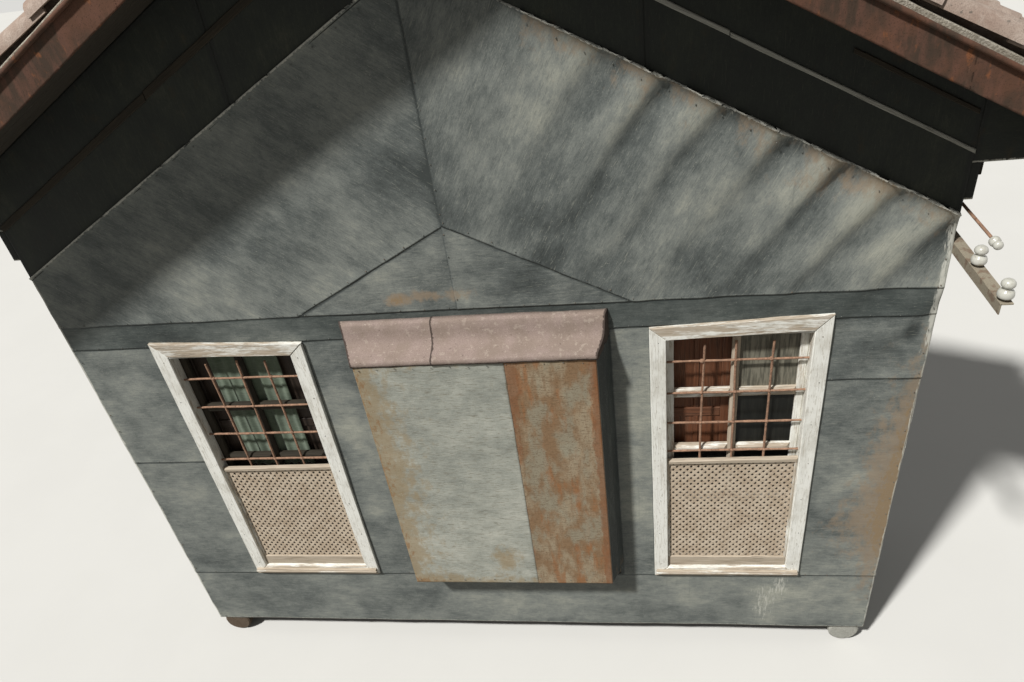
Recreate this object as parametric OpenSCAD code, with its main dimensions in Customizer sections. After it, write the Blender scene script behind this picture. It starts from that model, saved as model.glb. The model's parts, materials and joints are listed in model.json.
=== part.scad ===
// Projecting window bay with lattice screens, timber framed and clad in sheet metal.
// X runs along the front, Y runs into the house wall and Z is up.
// The house wall's face is the plane y = 0. The origin lies on it, in the cut end of
// the middle carrying log, level with the bottom edge of the sheet metal.

/* [Bay] */
// Width of the front over the sheet metal
bay_w = 4600; // [4200:10:5200]
// How far the front stands out from the house wall
bay_out = 1100; // [900:10:1300]
// Thickness of the timber walls
wall_t = 100; // [80:2:120]
// Thickness of the sheet metal
sheet_t = 3; // [1:0.5:5]
// Height of the gable sheet's right corner above the seam over the windows
corner_rise = 370; // [300:5:430]
// Distance of the ridge to the right of the bay's middle
ridge_x = 44; // [0:2:80]
// Pitch of the roof in degrees
roof_pitch = 29.25; // [26:0.25:32]

/* [Floor] */
// Diameter of the carrying logs
log_d = 200; // [160:5:240]
// Depth of the flat hewn along the top of each log
log_flat = 15; // [5:1:25]
// Height of the logs' seat above the sheet's bottom edge
log_seat = 25; // [10:1:60]
// Distance of the outer logs' middles from the bay's sides
log_inset = 115; // [105:5:200]
// How far the middle log stops behind the outer ones
log_setback = 110; // [80:5:140]
// Height of the floor beams
beam_h = 120; // [90:5:160]
// Width of the beam under the front wall
front_beam_w = 160; // [145:5:200]
// Width of a floor joist
joist_w = 70; // [50:5:90]
// Number of floor joists
joist_count = 10; // [9:1:12]
// Thickness of the floor boards
floor_t = 28; // [20:1:40]
// Width of a floor board
floor_board_w = 165; // [120:5:220]
// Gap between floor boards
floor_gap = 4; // [2:1:8]

/* [Windows] */
// Distance of the left window's middle from the bay's middle
left_window_x = 1360; // [1300:5:1450]
// Distance of the right window's middle from the bay's middle
right_window_x = 1389; // [1320:5:1450]
// Width of a window over its casing
window_w = 890; // [800:5:960]
// Height of a window over its casing
window_h = 1969; // [1900:1:2020]
// Height of the casing's bottom above the sheet's bottom edge
window_z = 547; // [500:1:600]
// Face width of the casing boards
casing_w = 85; // [70:1:100]
// How far the casing stands out from the sheet metal
casing_t = 25; // [15:1:35]
// Thickness of the lining boards in the opening
lining_t = 20; // [12:1:30]
// Height of the drip sill under the casing
sill_h = 22; // [15:1:30]
// How far the drip sill stands out from the casing
sill_out = 22; // [10:1:35]
// Distance of the drip sill's ends from the casing's sides
sill_end = 10; // [5:1:20]

/* [Iron bars] */
// Thickness of the iron bars
bar_d = 13; // [10:1:16]
// Sideways distance between the upright bars
bar_pitch = 176; // [150:2:200]
// Height between the cross bars
cross_bar_pitch = 213; // [190:1:230]
// Distance from the opening's top to the highest cross bar
cross_bar_drop = 182; // [150:1:210]
// How far the uprights' tops stay below the opening's top
upright_gap = 70; // [50:5:100]
// Distance of the bars behind the sheet metal's face
bar_depth = 22; // [18:1:30]
// Size of the square eye forged where two bars cross
eye_size = 21; // [18:1:26]

/* [Lattice] */
// Height of the lattice screen with its rails
screen_h = 928; // [860:2:980]
// Height of the screen's bottom rail
screen_bottom_rail = 80; // [60:1:100]
// Height of the screen's top rail
screen_top_rail = 30; // [24:1:40]
// Width of the screen's side stiles
screen_stile = 14; // [10:1:24]
// Depth of the screen's rails and stiles
screen_d = 26; // [22:1:34]
// How far the screen stands proud of the sheet metal
screen_out = 4; // [2:1:8]
// Width of a lath
lath_w = 16.5; // [14:0.5:23]
// Thickness of a lath
lath_t = 6; // [5:0.5:9]
// Depth to which the laths are notched into each other
lath_notch = 5; // [1:0.5:5.5]
// Distance between laths, square to their length
lath_pitch = 30.7; // [28:0.1:36]
// Angle of the laths to the level in degrees
lath_angle = 49.2; // [44:0.2:54]

/* [Casements and shutters] */
// Distance of the casements behind the sheet metal's face
sash_depth = 48; // [44:1:52]
// Thickness of the casements
sash_t = 32; // [24:1:36]
// Face width of the casement stiles and rails
sash_w = 42; // [34:1:55]
// Height of a window pane with one rail
pane_h = 405; // [370:5:430]
// Thickness of the glass
glass_t = 4; // [3:0.5:6]
// Thickness of the inner shutters
shutter_t = 22; // [16:1:28]
// Gap between the two inner shutters of a window
shutter_gap = 2; // [1:0.5:4]
// How far the inner shutters lap over the opening's edge
shutter_lap = 25; // [15:1:40]
// Face width of the shutters' stiles and rails
shutter_rail_w = 60; // [45:1:75]
// Depth of the shutters' sunk panels
panel_sink = 7; // [4:1:10]
// Thickness of the gathered curtain
curtain_t = 12; // [8:1:14]
// Width of the gathered curtain
curtain_w = 430; // [350:10:500]
// Number of the curtain's folds
curtain_folds = 7; // [5:1:10]
// How far the curtain hangs below the screen's top
curtain_drop = 60; // [40:5:100]
// Gap between the casements and the curtain
curtain_gap = 1; // [0.5:0.5:3]

/* [Boxed projection] */
// Distance of the box's left side from the bay's middle
box_left = 597; // [560:1:620]
// Distance of the box's right side from the bay's middle, at the wall
box_right = 747; // [720:1:780]
// How far the right side slants inwards towards the front
box_splay = 70; // [0:2:110]
// Height of the box's bottom above the sheet's bottom edge
box_z = 660; // [630:1:720]
// Gap between the cap and the seam over the windows
cap_gap = 53; // [44:1:80]
// Depth of the box at its front sheets
box_d = 170; // [140:1:200]
// Height of the cap above the front sheets, at the wall
cap_h = 155; // [120:1:185]
// How far the cap's upright band stands off the wall
cap_band_d = 60; // [45:1:80]
// Height of the cap's upright band
cap_band_h = 122; // [90:1:115]
// How far the cap's upright band leans back
cap_band_lean = 10; // [5:1:16]
// Height of the cap's lip over the front sheets
cap_lip_h = 6; // [4:1:10]
// How far the cap laps over the front and the sides
cap_lap = 8; // [5:1:12]
// How far the cap's left end reaches past its front corner, at the wall
cap_over_left = 73; // [0:1:100]
// Distance of the cap's joint to the left of the bay's middle
cap_joint = 172; // [120:2:240]
// Distance of the front seam to the right of the bay's middle
box_seam = 218; // [180:2:260]
// Width of the timbers inside the box
box_timber = 45; // [35:1:60]

/* [Cladding] */
// Gap between the sheet that runs along the bottom and the casings
base_gap = 2; // [1:1:20]
// Height of the lap seam in the side sheets
lap_seam_z = 1632; // [1500:2:1800]
// Height of the dark strip over the windows
head_strip_h = 156; // [130:2:190]
// Height of the lower gable sheets where they meet
apron_h = 478; // [400:2:540]
// Distance of the lower gable sheets' ends from the gable seam
apron_reach = 880; // [800:5:960]
// Distance of the gable's upright seam to the left of the ridge
apron_shift = 54; // [20:2:100]
// Width of a folded seam
seam_w = 14; // [10:1:20]
// How far a folded seam stands out
seam_t = 3; // [2:0.5:5]
// Distance of the long seams' ends from the corners
seam_end = 20; // [10:2:40]
// Distance of the gable's upright seam from the edges above and below
upright_seam_end = 50; // [40:5:80]
// Height of the gable sheets' folded top edge
edge_h = 4; // [3:0.5:6]
// How far the folded top edge of the gable sheets stands out
edge_fold = 16; // [13:1:24]

/* [Roof] */
// How far the roof stands out in front of the sheet metal
verge_out = 440; // [380:5:500]
// How far the roof stands out at the sides
eaves_out = 420; // [360:5:480]
// Height of the roof's lower edge above the gable sheet's edge
roof_rise = 550; // [500:5:600]
// How far the fascia hangs below the soffit boards
fascia_drip = 8; // [4:1:14]
// Height of the sheet metal fascia
fascia_h = 150; // [144:1:170]
// Diameter of the fascia's rolled top edge
roll_d = 22; // [16:1:30]
// Thickness of the soffit boards and the roof boards
board_t = 20; // [16:1:24]
// Depth of a rafter
rafter_h = 80; // [70:1:90]
// Width of a rafter
rafter_w = 55; // [45:1:70]
// Number of rafters on each slope
rafter_count = 4; // [4:1:5]
// Width of the ridge beam
ridge_beam_w = 60; // [50:2:80]
// Thickness of the frieze boards over the gable sheets
frieze_t = 12; // [10:1:18]
// Face width of the batten along the middle of the frieze
batten_w = 40; // [30:1:50]
// Height of the frieze batten above the gable sheet's edge
batten_rise = 275; // [240:5:300]
// Distance of the side eaves' flat soffit below the roof's lower edge on the left
eaves_drop = 37; // [30:1:55]
// Height of the side eaves' stepped moulding
moulding_h = 170; // [140:5:190]
// How far the moulding's lower step stands out
moulding_out = 36; // [30:1:50]
// How far the moulding's upper step stands out
moulding_top_out = 54; // [50:1:70]
// Height of the moulding's lower step
moulding_step = 105; // [70:5:120]

/* [Tiles] */
// Spacing of the tile rows
tile_pitch = 192; // [180:2:210]
// Radius of a cover tile
tile_r = 68; // [55:1:76]
// Thickness of the bed of channel tiles
tile_bed = 26; // [20:1:34]
// How deep the cover tiles sit in the bed
cover_sink = 10; // [6:1:12]
// Gap between the cover tiles and the ridge tiles
cover_gap = 2; // [1:0.5:4]
// How far the tiles stop behind the fascia
tile_inset = 12; // [0:1:30]
// How far the tiles reach past the side eaves
tile_out = 50; // [30:2:80]
// Radius of a ridge tile
ridge_tile_r = 120; // [105:1:130]
// Length of a ridge tile
ridge_tile_l = 385; // [340:5:420]
// How deep the ridge tiles sit between the slopes
ridge_tile_sink = 30; // [20:1:40]
// Gap between ridge tiles
ridge_tile_gap = 3; // [2:1:6]

/* [Insulator bracket] */
// Leg width of the bracket's angle iron
arm_w = 50; // [40:1:60]
// Thickness of the angle iron
arm_t = 6; // [4:0.5:8]
// How far the bracket stands out in front of the sheet metal
arm_out = 520; // [440:10:580]
// Length of the bracket's foot along the side wall
arm_foot = 260; // [200:10:320]
// Height of the bracket's top face above the seam over the windows
arm_rise = 218; // [180:2:260]
// Width of a bolt head over its flats' corners
bolt_d = 18; // [14:1:24]
// Height of a bolt head
bolt_h = 8; // [6:1:12]
// Largest diameter of an insulator
insulator_d = 64; // [50:1:76]
// Height of an insulator
insulator_h = 84; // [76:1:96]
// Distance of the outer insulator from the bracket's tip
insulator_inset = 31; // [25:1:60]
// Distance between the two insulators on the bracket
insulator_pitch = 271; // [200:1:300]
// Size of the rod's insulator against the others
small_insulator = 0.72; // [0.6:0.02:1]
// How far the insulators' bells sit above their feet
pin_seat = 12; // [8:1:16]
// Diameter of the insulator pins and of the upper rod
pin_d = 14; // [10:1:18]
// Height of the upper rod above the bracket
rod_rise = 170; // [140:5:200]
// Distance of the upper rod's foot behind the sheet metal's face
rod_setback = 80; // [50:5:120]
// Length of the upper rod
rod_out = 380; // [300:10:440]

/* [Hidden] */

half_w = bay_w / 2;
slope = tan(roof_pitch);

// Levels of the cladding
window_top = window_z + window_h;
base_top = window_z - base_gap;
head_seam_z = window_top + head_strip_h;
apron_peak_z = head_seam_z + apron_h;
peak_h = head_seam_z + corner_rise + slope * (half_w - ridge_x);
arm_z = head_seam_z + arm_rise;

// Height of a board's edge when it lies on the slope, for each unit of its thickness
rise_per_t = 1 / cos(roof_pitch);

// Planes of the front, counted from the house wall
front_y = -bay_out;
wall_front_y = front_y + sheet_t;
wall_back_y = wall_front_y + wall_t;
verge_y = front_y - verge_out;
side_x = half_w - sheet_t;
side_in_x = side_x - wall_t;

// Levels of the floor
log_axis_z = log_seat + log_flat - log_d / 2;
beam_top = log_seat + beam_h;
floor_top = beam_top + floor_t;

// Levels of the roof above the gable sheet's edge
soffit_rise = roof_rise + fascia_drip;
rafter_rise = soffit_rise + board_t * rise_per_t;
boards_rise = rafter_rise + rafter_h * rise_per_t;
tiles_rise = boards_rise + board_t * rise_per_t;
bed_rise = tiles_rise + tile_bed * rise_per_t;
fascia_top_rise = roof_rise + fascia_h;
eaves_x = half_w + eaves_out;
eaves_soffit_z = peak_h + roof_rise - slope * (eaves_x + ridge_x) - eaves_drop;
moulding_z = eaves_soffit_z - moulding_h;

// The clear opening of a window, between its linings
clear_w = window_w - 2 * casing_w;
clear_h = window_h - 2 * casing_w;
clear_z = window_z + casing_w;
clear_top = clear_z + clear_h;
screen_top = clear_z + screen_h;

// Cross bars fill the opening above the screen
cross_bar_count = floor((clear_top - screen_top - cross_bar_drop) / cross_bar_pitch) + 1;

// The lattice's own field, between the rails and stiles
field_w = clear_w - 2 * screen_stile;
field_z = clear_z + screen_bottom_rail;
field_top = screen_top - screen_top_rail;
field_middle_z = (field_z + field_top) / 2;
lattice_t = 2 * lath_t - lath_notch;
screen_y = front_y - screen_out;
lattice_y = screen_y + (screen_d - lattice_t) / 2;

timber = "#6e6558";
grey_sheet = "#7d8487";
pale_wood = "#cfc6b2";
rust = "#8a4b2c";
dark_wood = "#3d3a31";
tile_clay = "#b59c8c";

// Height of the line that lies the given rise above the gable sheet's edge
function rake_z(x, rise) = peak_h + rise - slope * abs(x - ridge_x);

// Points of the window outline, as a rectangle from a corner and a size
function frame_points(x0, z0, w, h) = [[x0, z0], [x0 + w, z0], [x0 + w, z0 + h], [x0, z0 + h]];

// A plate whose face is drawn in X and Z, from one depth to the next
module front_plate(points, y0, y1) {
    translate([0, y1, 0]) rotate([90, 0, 0]) linear_extrude(y1 - y0) polygon(points);
}

// A bar along X whose section is drawn in Y and Z
module long_bar(points, x0, x1) {
    translate([x0, 0, 0]) rotate([90, 0, 90]) linear_extrude(x1 - x0) polygon(points);
}

// A block between two corners
module block(a, b) {
    translate(a) cube(b - a);
}

// A board on the roof slope, between two distances from the ridge and two rises
module slope_board(side, reach0, reach1, rise0, rise1, y0, y1) {
    xa = ridge_x + side * reach0;
    xb = ridge_x + side * reach1;
    front_plate([
        [xa, rake_z(xa, rise0)], [xb, rake_z(xb, rise0)],
        [xb, rake_z(xb, rise1)], [xa, rake_z(xa, rise1)]
    ], y0, y1);
}

// Distance of a side's eaves from the ridge, with an extra reach
function eaves_reach(side, extra = 0) = eaves_x - side * ridge_x + extra;

// A log along Y with a flat hewn along its top
module log_beam(x, front_end) {
    difference() {
        translate([x, front_end, log_axis_z]) rotate([-90, 0, 0]) cylinder(d = log_d, h = -front_end, $fn = 48);
        block([x - log_d, front_end - 1, log_seat], [x + log_d, 1, log_seat + log_d]);
    }
}

module left_log() {
    color(timber) log_beam(log_inset - half_w, wall_front_y);
}

module right_log() {
    color(pale_wood) log_beam(half_w - log_inset, wall_front_y);
}

module middle_log() {
    color(timber) log_beam(0, wall_front_y + log_setback);
}

module front_beam() {
    color(timber) block(
        [-side_x, wall_front_y, log_seat],
        [side_x, wall_front_y + front_beam_w, beam_top]
    );
}

// Joists from the front beam to the house wall, the outer two as wide as the walls
module floor_joists() {
    reach = side_x - wall_t / 2;
    for (i = [0 : joist_count - 1]) {
        w = (i == 0 || i == joist_count - 1) ? wall_t : joist_w;
        x = -reach + 2 * reach * i / (joist_count - 1);
        color(timber) block(
            [x - w / 2, wall_front_y + front_beam_w, log_seat],
            [x + w / 2, 0, beam_top]
        );
    }
}

// Floor boards along the front, the last one cut to the space that is left
module floor_boards() {
    pitch = floor_board_w + floor_gap;
    count = ceil(-wall_back_y / pitch);
    for (i = [0 : count - 1]) {
        y0 = wall_back_y + i * pitch;
        color("#7a664a") block([-side_in_x, y0, beam_top], [side_in_x, min(y0 + floor_board_w, 0), floor_top]);
    }
}

// The hole that a window's lining fits, through the front wall
module window_hole(x, y0, y1) {
    block(
        [x - clear_w / 2 - lining_t, y0, clear_z - lining_t],
        [x + clear_w / 2 + lining_t, y1, clear_top + lining_t]
    );
}

// The front wall with its gable, cut flat under the ridge beam
module front_wall() {
    beam = ridge_beam_w / 2;
    color("#8b8272") difference() {
        front_plate([
            [-side_x, beam_top], [side_x, beam_top],
            [side_x, rake_z(side_x, rafter_rise)],
            [ridge_x + beam, rake_z(ridge_x + beam, rafter_rise)],
            [ridge_x - beam, rake_z(ridge_x - beam, rafter_rise)],
            [-side_x, rake_z(-side_x, rafter_rise)]
        ], wall_front_y, wall_back_y);
        window_hole(-left_window_x, wall_front_y - 1, wall_back_y + 1);
        window_hole(right_window_x, wall_front_y - 1, wall_back_y + 1);
    }
}

// A side wall from the front wall to the house wall, with a sloping top
module side_wall(side) {
    color("#8b8272") front_plate([
        [side * side_in_x, beam_top], [side * side_x, beam_top],
        [side * side_x, rake_z(side * side_x, rafter_rise)],
        [side * side_in_x, rake_z(side * side_in_x, rafter_rise)]
    ], wall_back_y, 0);
}

module left_wall() {
    side_wall(-1);
}

module right_wall() {
    side_wall(1);
}

// A flat sheet on the front wall
module front_sheet(points) {
    front_plate(points, front_y, wall_front_y);
}

// A folded seam between two points of the front
module seam(a, b) {
    run = b - a;
    length = norm(run);
    translate([a[0], front_y, a[1]]) rotate([0, -atan2(run[1], run[0]), 0])
        translate([0, -seam_t, -seam_w / 2]) cube([length, seam_t + sheet_t / 2, seam_w]);
}

// Edges of the windows and the box, which the sheets run up to
left_window_a = -left_window_x - window_w / 2;
left_window_b = -left_window_x + window_w / 2;
right_window_a = right_window_x - window_w / 2;
right_window_b = right_window_x + window_w / 2;

module base_sheet() {
    color(grey_sheet) {
        front_sheet([[-half_w, 0], [half_w, 0], [half_w, base_top], [-half_w, base_top]]);
        seam([-half_w + seam_end, base_top - seam_w / 2], [half_w - seam_end, base_top - seam_w / 2]);
    }
}

// A sheet beside a window with a lap seam across it
module pier_sheet(x0, x1) {
    color(grey_sheet) {
        front_sheet([[x0, base_top], [x1, base_top], [x1, window_top], [x0, window_top]]);
        seam([x0 + seam_w, lap_seam_z], [x1 - seam_w, lap_seam_z]);
    }
}

module left_pier_sheet() {
    pier_sheet(-half_w, left_window_a);
}

module left_inner_sheet() {
    pier_sheet(left_window_b, -box_left);
}

module right_inner_sheet() {
    pier_sheet(box_right, right_window_a);
}

module right_pier_sheet() {
    pier_sheet(right_window_b, half_w);
}

// The dark strip over the windows, with the seam along its top
module head_sheet() {
    color("#565d60") {
        front_sheet([[-half_w, window_top], [half_w, window_top], [half_w, head_seam_z], [-half_w, head_seam_z]]);
        seam([-half_w + seam_end, head_seam_z - seam_w / 2], [half_w - seam_end, head_seam_z - seam_w / 2]);
    }
}

// One side of the gable above the head seam and the lower sheets
module gable_sheet(side) {
    tip_x = ridge_x - apron_shift + side * apron_reach;
    seam_x = ridge_x - apron_shift;
    color(grey_sheet) {
        front_sheet([
            [side * half_w, head_seam_z], [tip_x, head_seam_z], [seam_x, apron_peak_z],
            [seam_x, rake_z(seam_x, 0)], if (side > 0) [ridge_x, peak_h],
            [side * half_w, rake_z(side * half_w, 0)]
        ]);
        // folded top edge along the rake
        foot_x = side * half_w;
        top_x = side > 0 ? ridge_x : seam_x;
        front_plate([
            [foot_x, rake_z(foot_x, -edge_h)], [foot_x, rake_z(foot_x, 0)],
            [top_x, rake_z(top_x, 0)], [top_x, rake_z(top_x, -edge_h)]
        ], front_y - edge_fold, wall_front_y);
    }
}

module left_gable_sheet() {
    gable_sheet(-1);
}

module right_gable_sheet() {
    gable_sheet(1);
    // upright seam between the two sheets
    seam_x = ridge_x - apron_shift;
    line_x = seam_x + seam_w / 2;
    color(grey_sheet) seam(
        [line_x, apron_peak_z + upright_seam_end],
        [line_x, rake_z(seam_x, -upright_seam_end)]
    );
}

// The low pair of sheets in the middle of the gable, with a seam down their middle
module gable_apron() {
    seam_x = ridge_x - apron_shift;
    left = [seam_x - apron_reach, head_seam_z];
    right = [seam_x + apron_reach, head_seam_z];
    peak = [seam_x, apron_peak_z];
    fall = (apron_peak_z - head_seam_z) / apron_reach;
    drop = [0, -seam_w];
    end_gap = 3 * seam_end;
    color("#868c8d") {
        front_sheet([left, right, peak]);
        seam(left + end_gap * [1, fall] + drop, peak + drop);
        seam(peak + drop, right + end_gap * [-1, fall] + drop);
        seam([seam_x, head_seam_z], peak + 2 * drop);
    }
}

// A side's cladding, with two lap seams
module side_sheet(side) {
    color(grey_sheet) {
        block(
            [side > 0 ? side_x : -half_w, wall_front_y, 0],
            [side > 0 ? half_w : -side_x, 0, moulding_z]
        );
        for (z = [base_top - seam_w / 2, lap_seam_z, head_seam_z - seam_w / 2])
            block(
                [side > 0 ? side_x + sheet_t / 2 : -half_w - seam_t, wall_front_y + seam_end, z - seam_w / 2],
                [side > 0 ? half_w + seam_t : -side_x - sheet_t / 2, -seam_end, z + seam_w / 2]
            );
    }
}

module left_side_sheet() {
    side_sheet(-1);
}

module right_side_sheet() {
    side_sheet(1);
}

// Outline of the box seen from above, grown by a lap
box_top_z = head_seam_z - cap_gap - cap_h;
function box_plan(grow, depth) = [
    [-box_left - grow, 0], [box_right + grow, 0],
    [box_right - box_splay * depth / box_d + grow, -depth], [-box_left - grow, -depth]
];

// A block with the box's outline
module box_block(grow, depth, z0, z1) {
    translate([0, front_y, z0]) linear_extrude(z1 - z0) polygon(box_plan(grow, depth));
}

// Timber frame that carries the box's sheets: four studs and five rails
module box_frame() {
    inner_d = box_d - sheet_t;
    z0 = box_z + sheet_t;
    first = -box_left + sheet_t + box_timber / 2;
    last = box_right - box_splay - sheet_t - box_timber / 2;
    studs = [first, (first + box_seam) / 2, box_seam, last];
    rail_pitch = (box_top_z - z0 - box_timber) / 4;
    color(timber) difference() {
        box_block(-sheet_t, inner_d, z0, box_top_z);
        for (i = [0 : 2], k = [0 : 3])
            block(
                [studs[i] + box_timber / 2, front_y - inner_d - 1, z0 + box_timber + k * rail_pitch],
                [studs[i + 1] - box_timber / 2, front_y + 1, z0 + (k + 1) * rail_pitch]
            );
    }
}

// Half of the box's front
module front_half(x0, x1) {
    block([x0, front_y - box_d, box_z], [x1, front_y - box_d + sheet_t, box_top_z]);
}

module box_front_sheet() {
    color("#9a9e98") front_half(-box_left, box_seam);
}

// The narrow sheet laps over the wide one
module box_rusty_sheet() {
    color(rust) {
        front_half(box_seam, box_right - box_splay);
        block(
            [box_seam - seam_w, front_y - box_d - seam_t, box_z],
            [box_seam + seam_w, front_y - box_d, box_top_z]
        );
    }
}

// One sheet folded round the two sides and the bottom
module box_side_sheets() {
    color("#4d5354") difference() {
        box_block(0, box_d - sheet_t, box_z, box_top_z);
        box_block(-sheet_t, box_d + 1, box_z + sheet_t, box_top_z + 1);
    }
}

// Section of the cap: an upright band near the wall, then a slope out to the front
module cap_piece(x0, x1) {
    lip = box_d + cap_lap;
    foot = box_top_z;
    kink = foot + cap_h - cap_band_h;
    color("#8f7a72") intersection() {
        long_bar([
            [front_y, foot], [front_y - lip, foot], [front_y - lip, foot + cap_lip_h],
            [front_y - cap_band_d, kink], [front_y - cap_band_d + cap_band_lean, foot + cap_h],
            [front_y, foot + cap_h]
        ], x0, x1);
        translate([0, front_y, foot - 1]) linear_extrude(cap_h + 2) polygon([
            [-box_left - cap_lap - cap_over_left, 0], [box_right + cap_lap, 0],
            [box_right - box_splay * lip / box_d + cap_lap, -lip], [-box_left - cap_lap, -lip]
        ]);
    }
}

module box_cap_left() {
    cap_piece(-box_left - 2 * cap_lap - cap_over_left, -cap_joint);
}

module box_cap_right() {
    cap_piece(-cap_joint, box_right + 2 * cap_lap);
}

// One mitred casing board, as a trapezium between the outer and the inner edge
module casing_board(a, b, c, d) {
    front_plate([a, b, c, d], front_y - casing_t, front_y);
}

// Casing with mitred corners, drip sill and the lining of the opening
module window_casing(x) {
    outer = frame_points(x - window_w / 2, window_z, window_w, window_h);
    inner = frame_points(x - clear_w / 2, clear_z, clear_w, clear_h);
    color(pale_wood) {
        for (i = [0 : 3]) {
            j = (i + 1) % 4;
            casing_board(outer[i], outer[j], inner[j], inner[i]);
        }
        block(
            [x - window_w / 2 + sill_end, front_y - casing_t - sill_out, window_z + casing_w - 2 * sill_h],
            [x + window_w / 2 - sill_end, front_y - casing_t, window_z + casing_w - sill_h]
        );
        difference() {
            window_hole(x, front_y, wall_back_y);
            block([x - clear_w / 2, front_y - 1, clear_z], [x + clear_w / 2, wall_back_y + 1, clear_top]);
        }
    }
}

// Iron grille: uprights on the screen, forged to cross bars that go into the linings
module window_bars(x) {
    y = front_y + bar_depth;
    color(rust) {
        for (i = [-1 : 1])
            translate([x + i * bar_pitch, y, screen_top])
                cylinder(d = bar_d, h = clear_top - upright_gap - screen_top, $fn = 16);
        for (k = [0 : cross_bar_count - 1]) {
            z = clear_top - cross_bar_drop - k * cross_bar_pitch;
            block([x - clear_w / 2, y - bar_d / 2, z - bar_d / 2], [x + clear_w / 2, y + bar_d / 2, z + bar_d / 2]);
            for (i = [-1 : 1])
                translate([x + i * bar_pitch, y, z]) cube([eye_size, eye_size, eye_size], center = true);
        }
    }
}

// Rails and stiles of the lattice screen
module screen_frame(x) {
    color("#b9a898") difference() {
        block([x - clear_w / 2, screen_y, clear_z], [x + clear_w / 2, screen_y + screen_d, screen_top]);
        block([x - field_w / 2, screen_y - 1, field_z], [x + field_w / 2, screen_y + screen_d + 1, field_top]);
    }
}

// Parallel laths that cross the band of the field between two heights
module lath_row(x, z0, z1, lean, y) {
    step = lath_pitch / sin(lath_angle);
    run = (z1 - z0) / tan(lath_angle);
    drift = lean * ((z0 + z1) / 2 - field_middle_z) / tan(lath_angle);
    reach = (field_w + run + step) / 2;
    length = (z1 - z0) / sin(lath_angle) + 4 * lath_w;
    first = ceil((-reach - drift) / step);
    last = floor((reach - drift) / step);
    for (i = [first : last])
        translate([x + i * step + drift, y, (z0 + z1) / 2]) rotate([0, -lean * lath_angle, 0])
            translate([-length / 2, 0, -lath_w / 2]) cube([length, lath_t, lath_w]);
}

// A band of the lattice: two layers of laths notched into each other
module lattice_band(x, z0, z1) {
    color("#b7a290") intersection() {
        block([x - field_w / 2, lattice_y - 1, z0], [x + field_w / 2, lattice_y + lattice_t + 1, z1]);
        union() {
            lath_row(x, z0, z1, 1, lattice_y);
            lath_row(x, z0, z1, -1, lattice_y + lath_t - lath_notch);
        }
    }
}

// Pair of casements with three rails, a board below and a thick meeting stile
module casements(x) {
    y0 = front_y + sash_depth;
    y1 = y0 + sash_t;
    pane_w = (clear_w - 3 * sash_w) / 2;
    color(pale_wood) difference() {
        block([x - clear_w / 2, y0, clear_z], [x + clear_w / 2, y1, clear_top]);
        for (side = [-1, 1], k = [0 : 2]) {
            top = clear_top - sash_w - k * pane_h;
            middle = x + side * (sash_w + pane_w) / 2;
            block([middle - pane_w / 2, y0 - 1, top - pane_h + sash_w], [middle + pane_w / 2, y1 + 1, top]);
        }
        for (side = [-1, 1]) {
            top = clear_top - sash_w - 3 * pane_h;
            middle = x + side * (sash_w + pane_w) / 2;
            block([middle - pane_w / 2, y0 - 1, clear_z + sash_w], [middle + pane_w / 2, y0 + sash_t / 2, top]);
        }
    }
}

// Pair of panelled shutters on the wall's inner face
module shutters(x, tone) {
    w = clear_w / 2 + shutter_lap;
    z0 = clear_z - shutter_lap;
    z1 = clear_top + shutter_lap;
    panel_h = (z1 - z0 - 4 * shutter_rail_w) / 3;
    color(tone) for (side = [-1, 1]) difference() {
        block(
            [side > 0 ? x + shutter_gap / 2 : x - w, wall_back_y, z0],
            [side > 0 ? x + w : x - shutter_gap / 2, wall_back_y + shutter_t, z1]
        );
        for (k = [0 : 2], face = [0, 1]) {
            z = z0 + shutter_rail_w + k * (panel_h + shutter_rail_w);
            y = face > 0 ? wall_back_y + shutter_t - panel_sink : wall_back_y - 1;
            block(
                [x + side * w / 2 - w / 2 + shutter_rail_w, y, z],
                [x + side * w / 2 + w / 2 - shutter_rail_w, y + panel_sink + 1, z + panel_h]
            );
        }
    }
}

module left_casing() {
    window_casing(-left_window_x);
}

module left_bars() {
    window_bars(-left_window_x);
}

module left_screen_frame() {
    screen_frame(-left_window_x);
}

module left_lattice_upper() {
    lattice_band(-left_window_x, field_middle_z, field_top);
}

module left_lattice_lower() {
    lattice_band(-left_window_x, field_z, field_middle_z);
}

module left_casements() {
    casements(-left_window_x);
}

// Curtain gathered in folds behind the left casements, hung from the lining
module left_curtain() {
    y0 = front_y + sash_depth + sash_t + curtain_gap;
    foot = screen_top - curtain_drop;
    fold_w = curtain_w / curtain_folds;
    color("#b9c2ae") difference() {
        block(
            [-left_window_x - curtain_w / 2, y0, foot],
            [-left_window_x + curtain_w / 2, y0 + curtain_t, clear_top]
        );
        for (i = [1 : curtain_folds - 1])
            translate([-left_window_x - curtain_w / 2 + i * fold_w, y0, foot - 1])
                cylinder(r = curtain_t * 0.6, h = clear_top - foot + 2, $fn = 8);
    }
}

module left_shutters() {
    shutters(-left_window_x, "#3a2c22");
}

module right_casing() {
    window_casing(right_window_x);
}

module right_bars() {
    window_bars(right_window_x);
}

module right_screen_frame() {
    screen_frame(right_window_x);
}

module right_lattice_upper() {
    lattice_band(right_window_x, field_middle_z, field_top);
}

module right_lattice_lower() {
    lattice_band(right_window_x, field_z, field_middle_z);
}

module right_casements() {
    casements(right_window_x);
}

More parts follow.
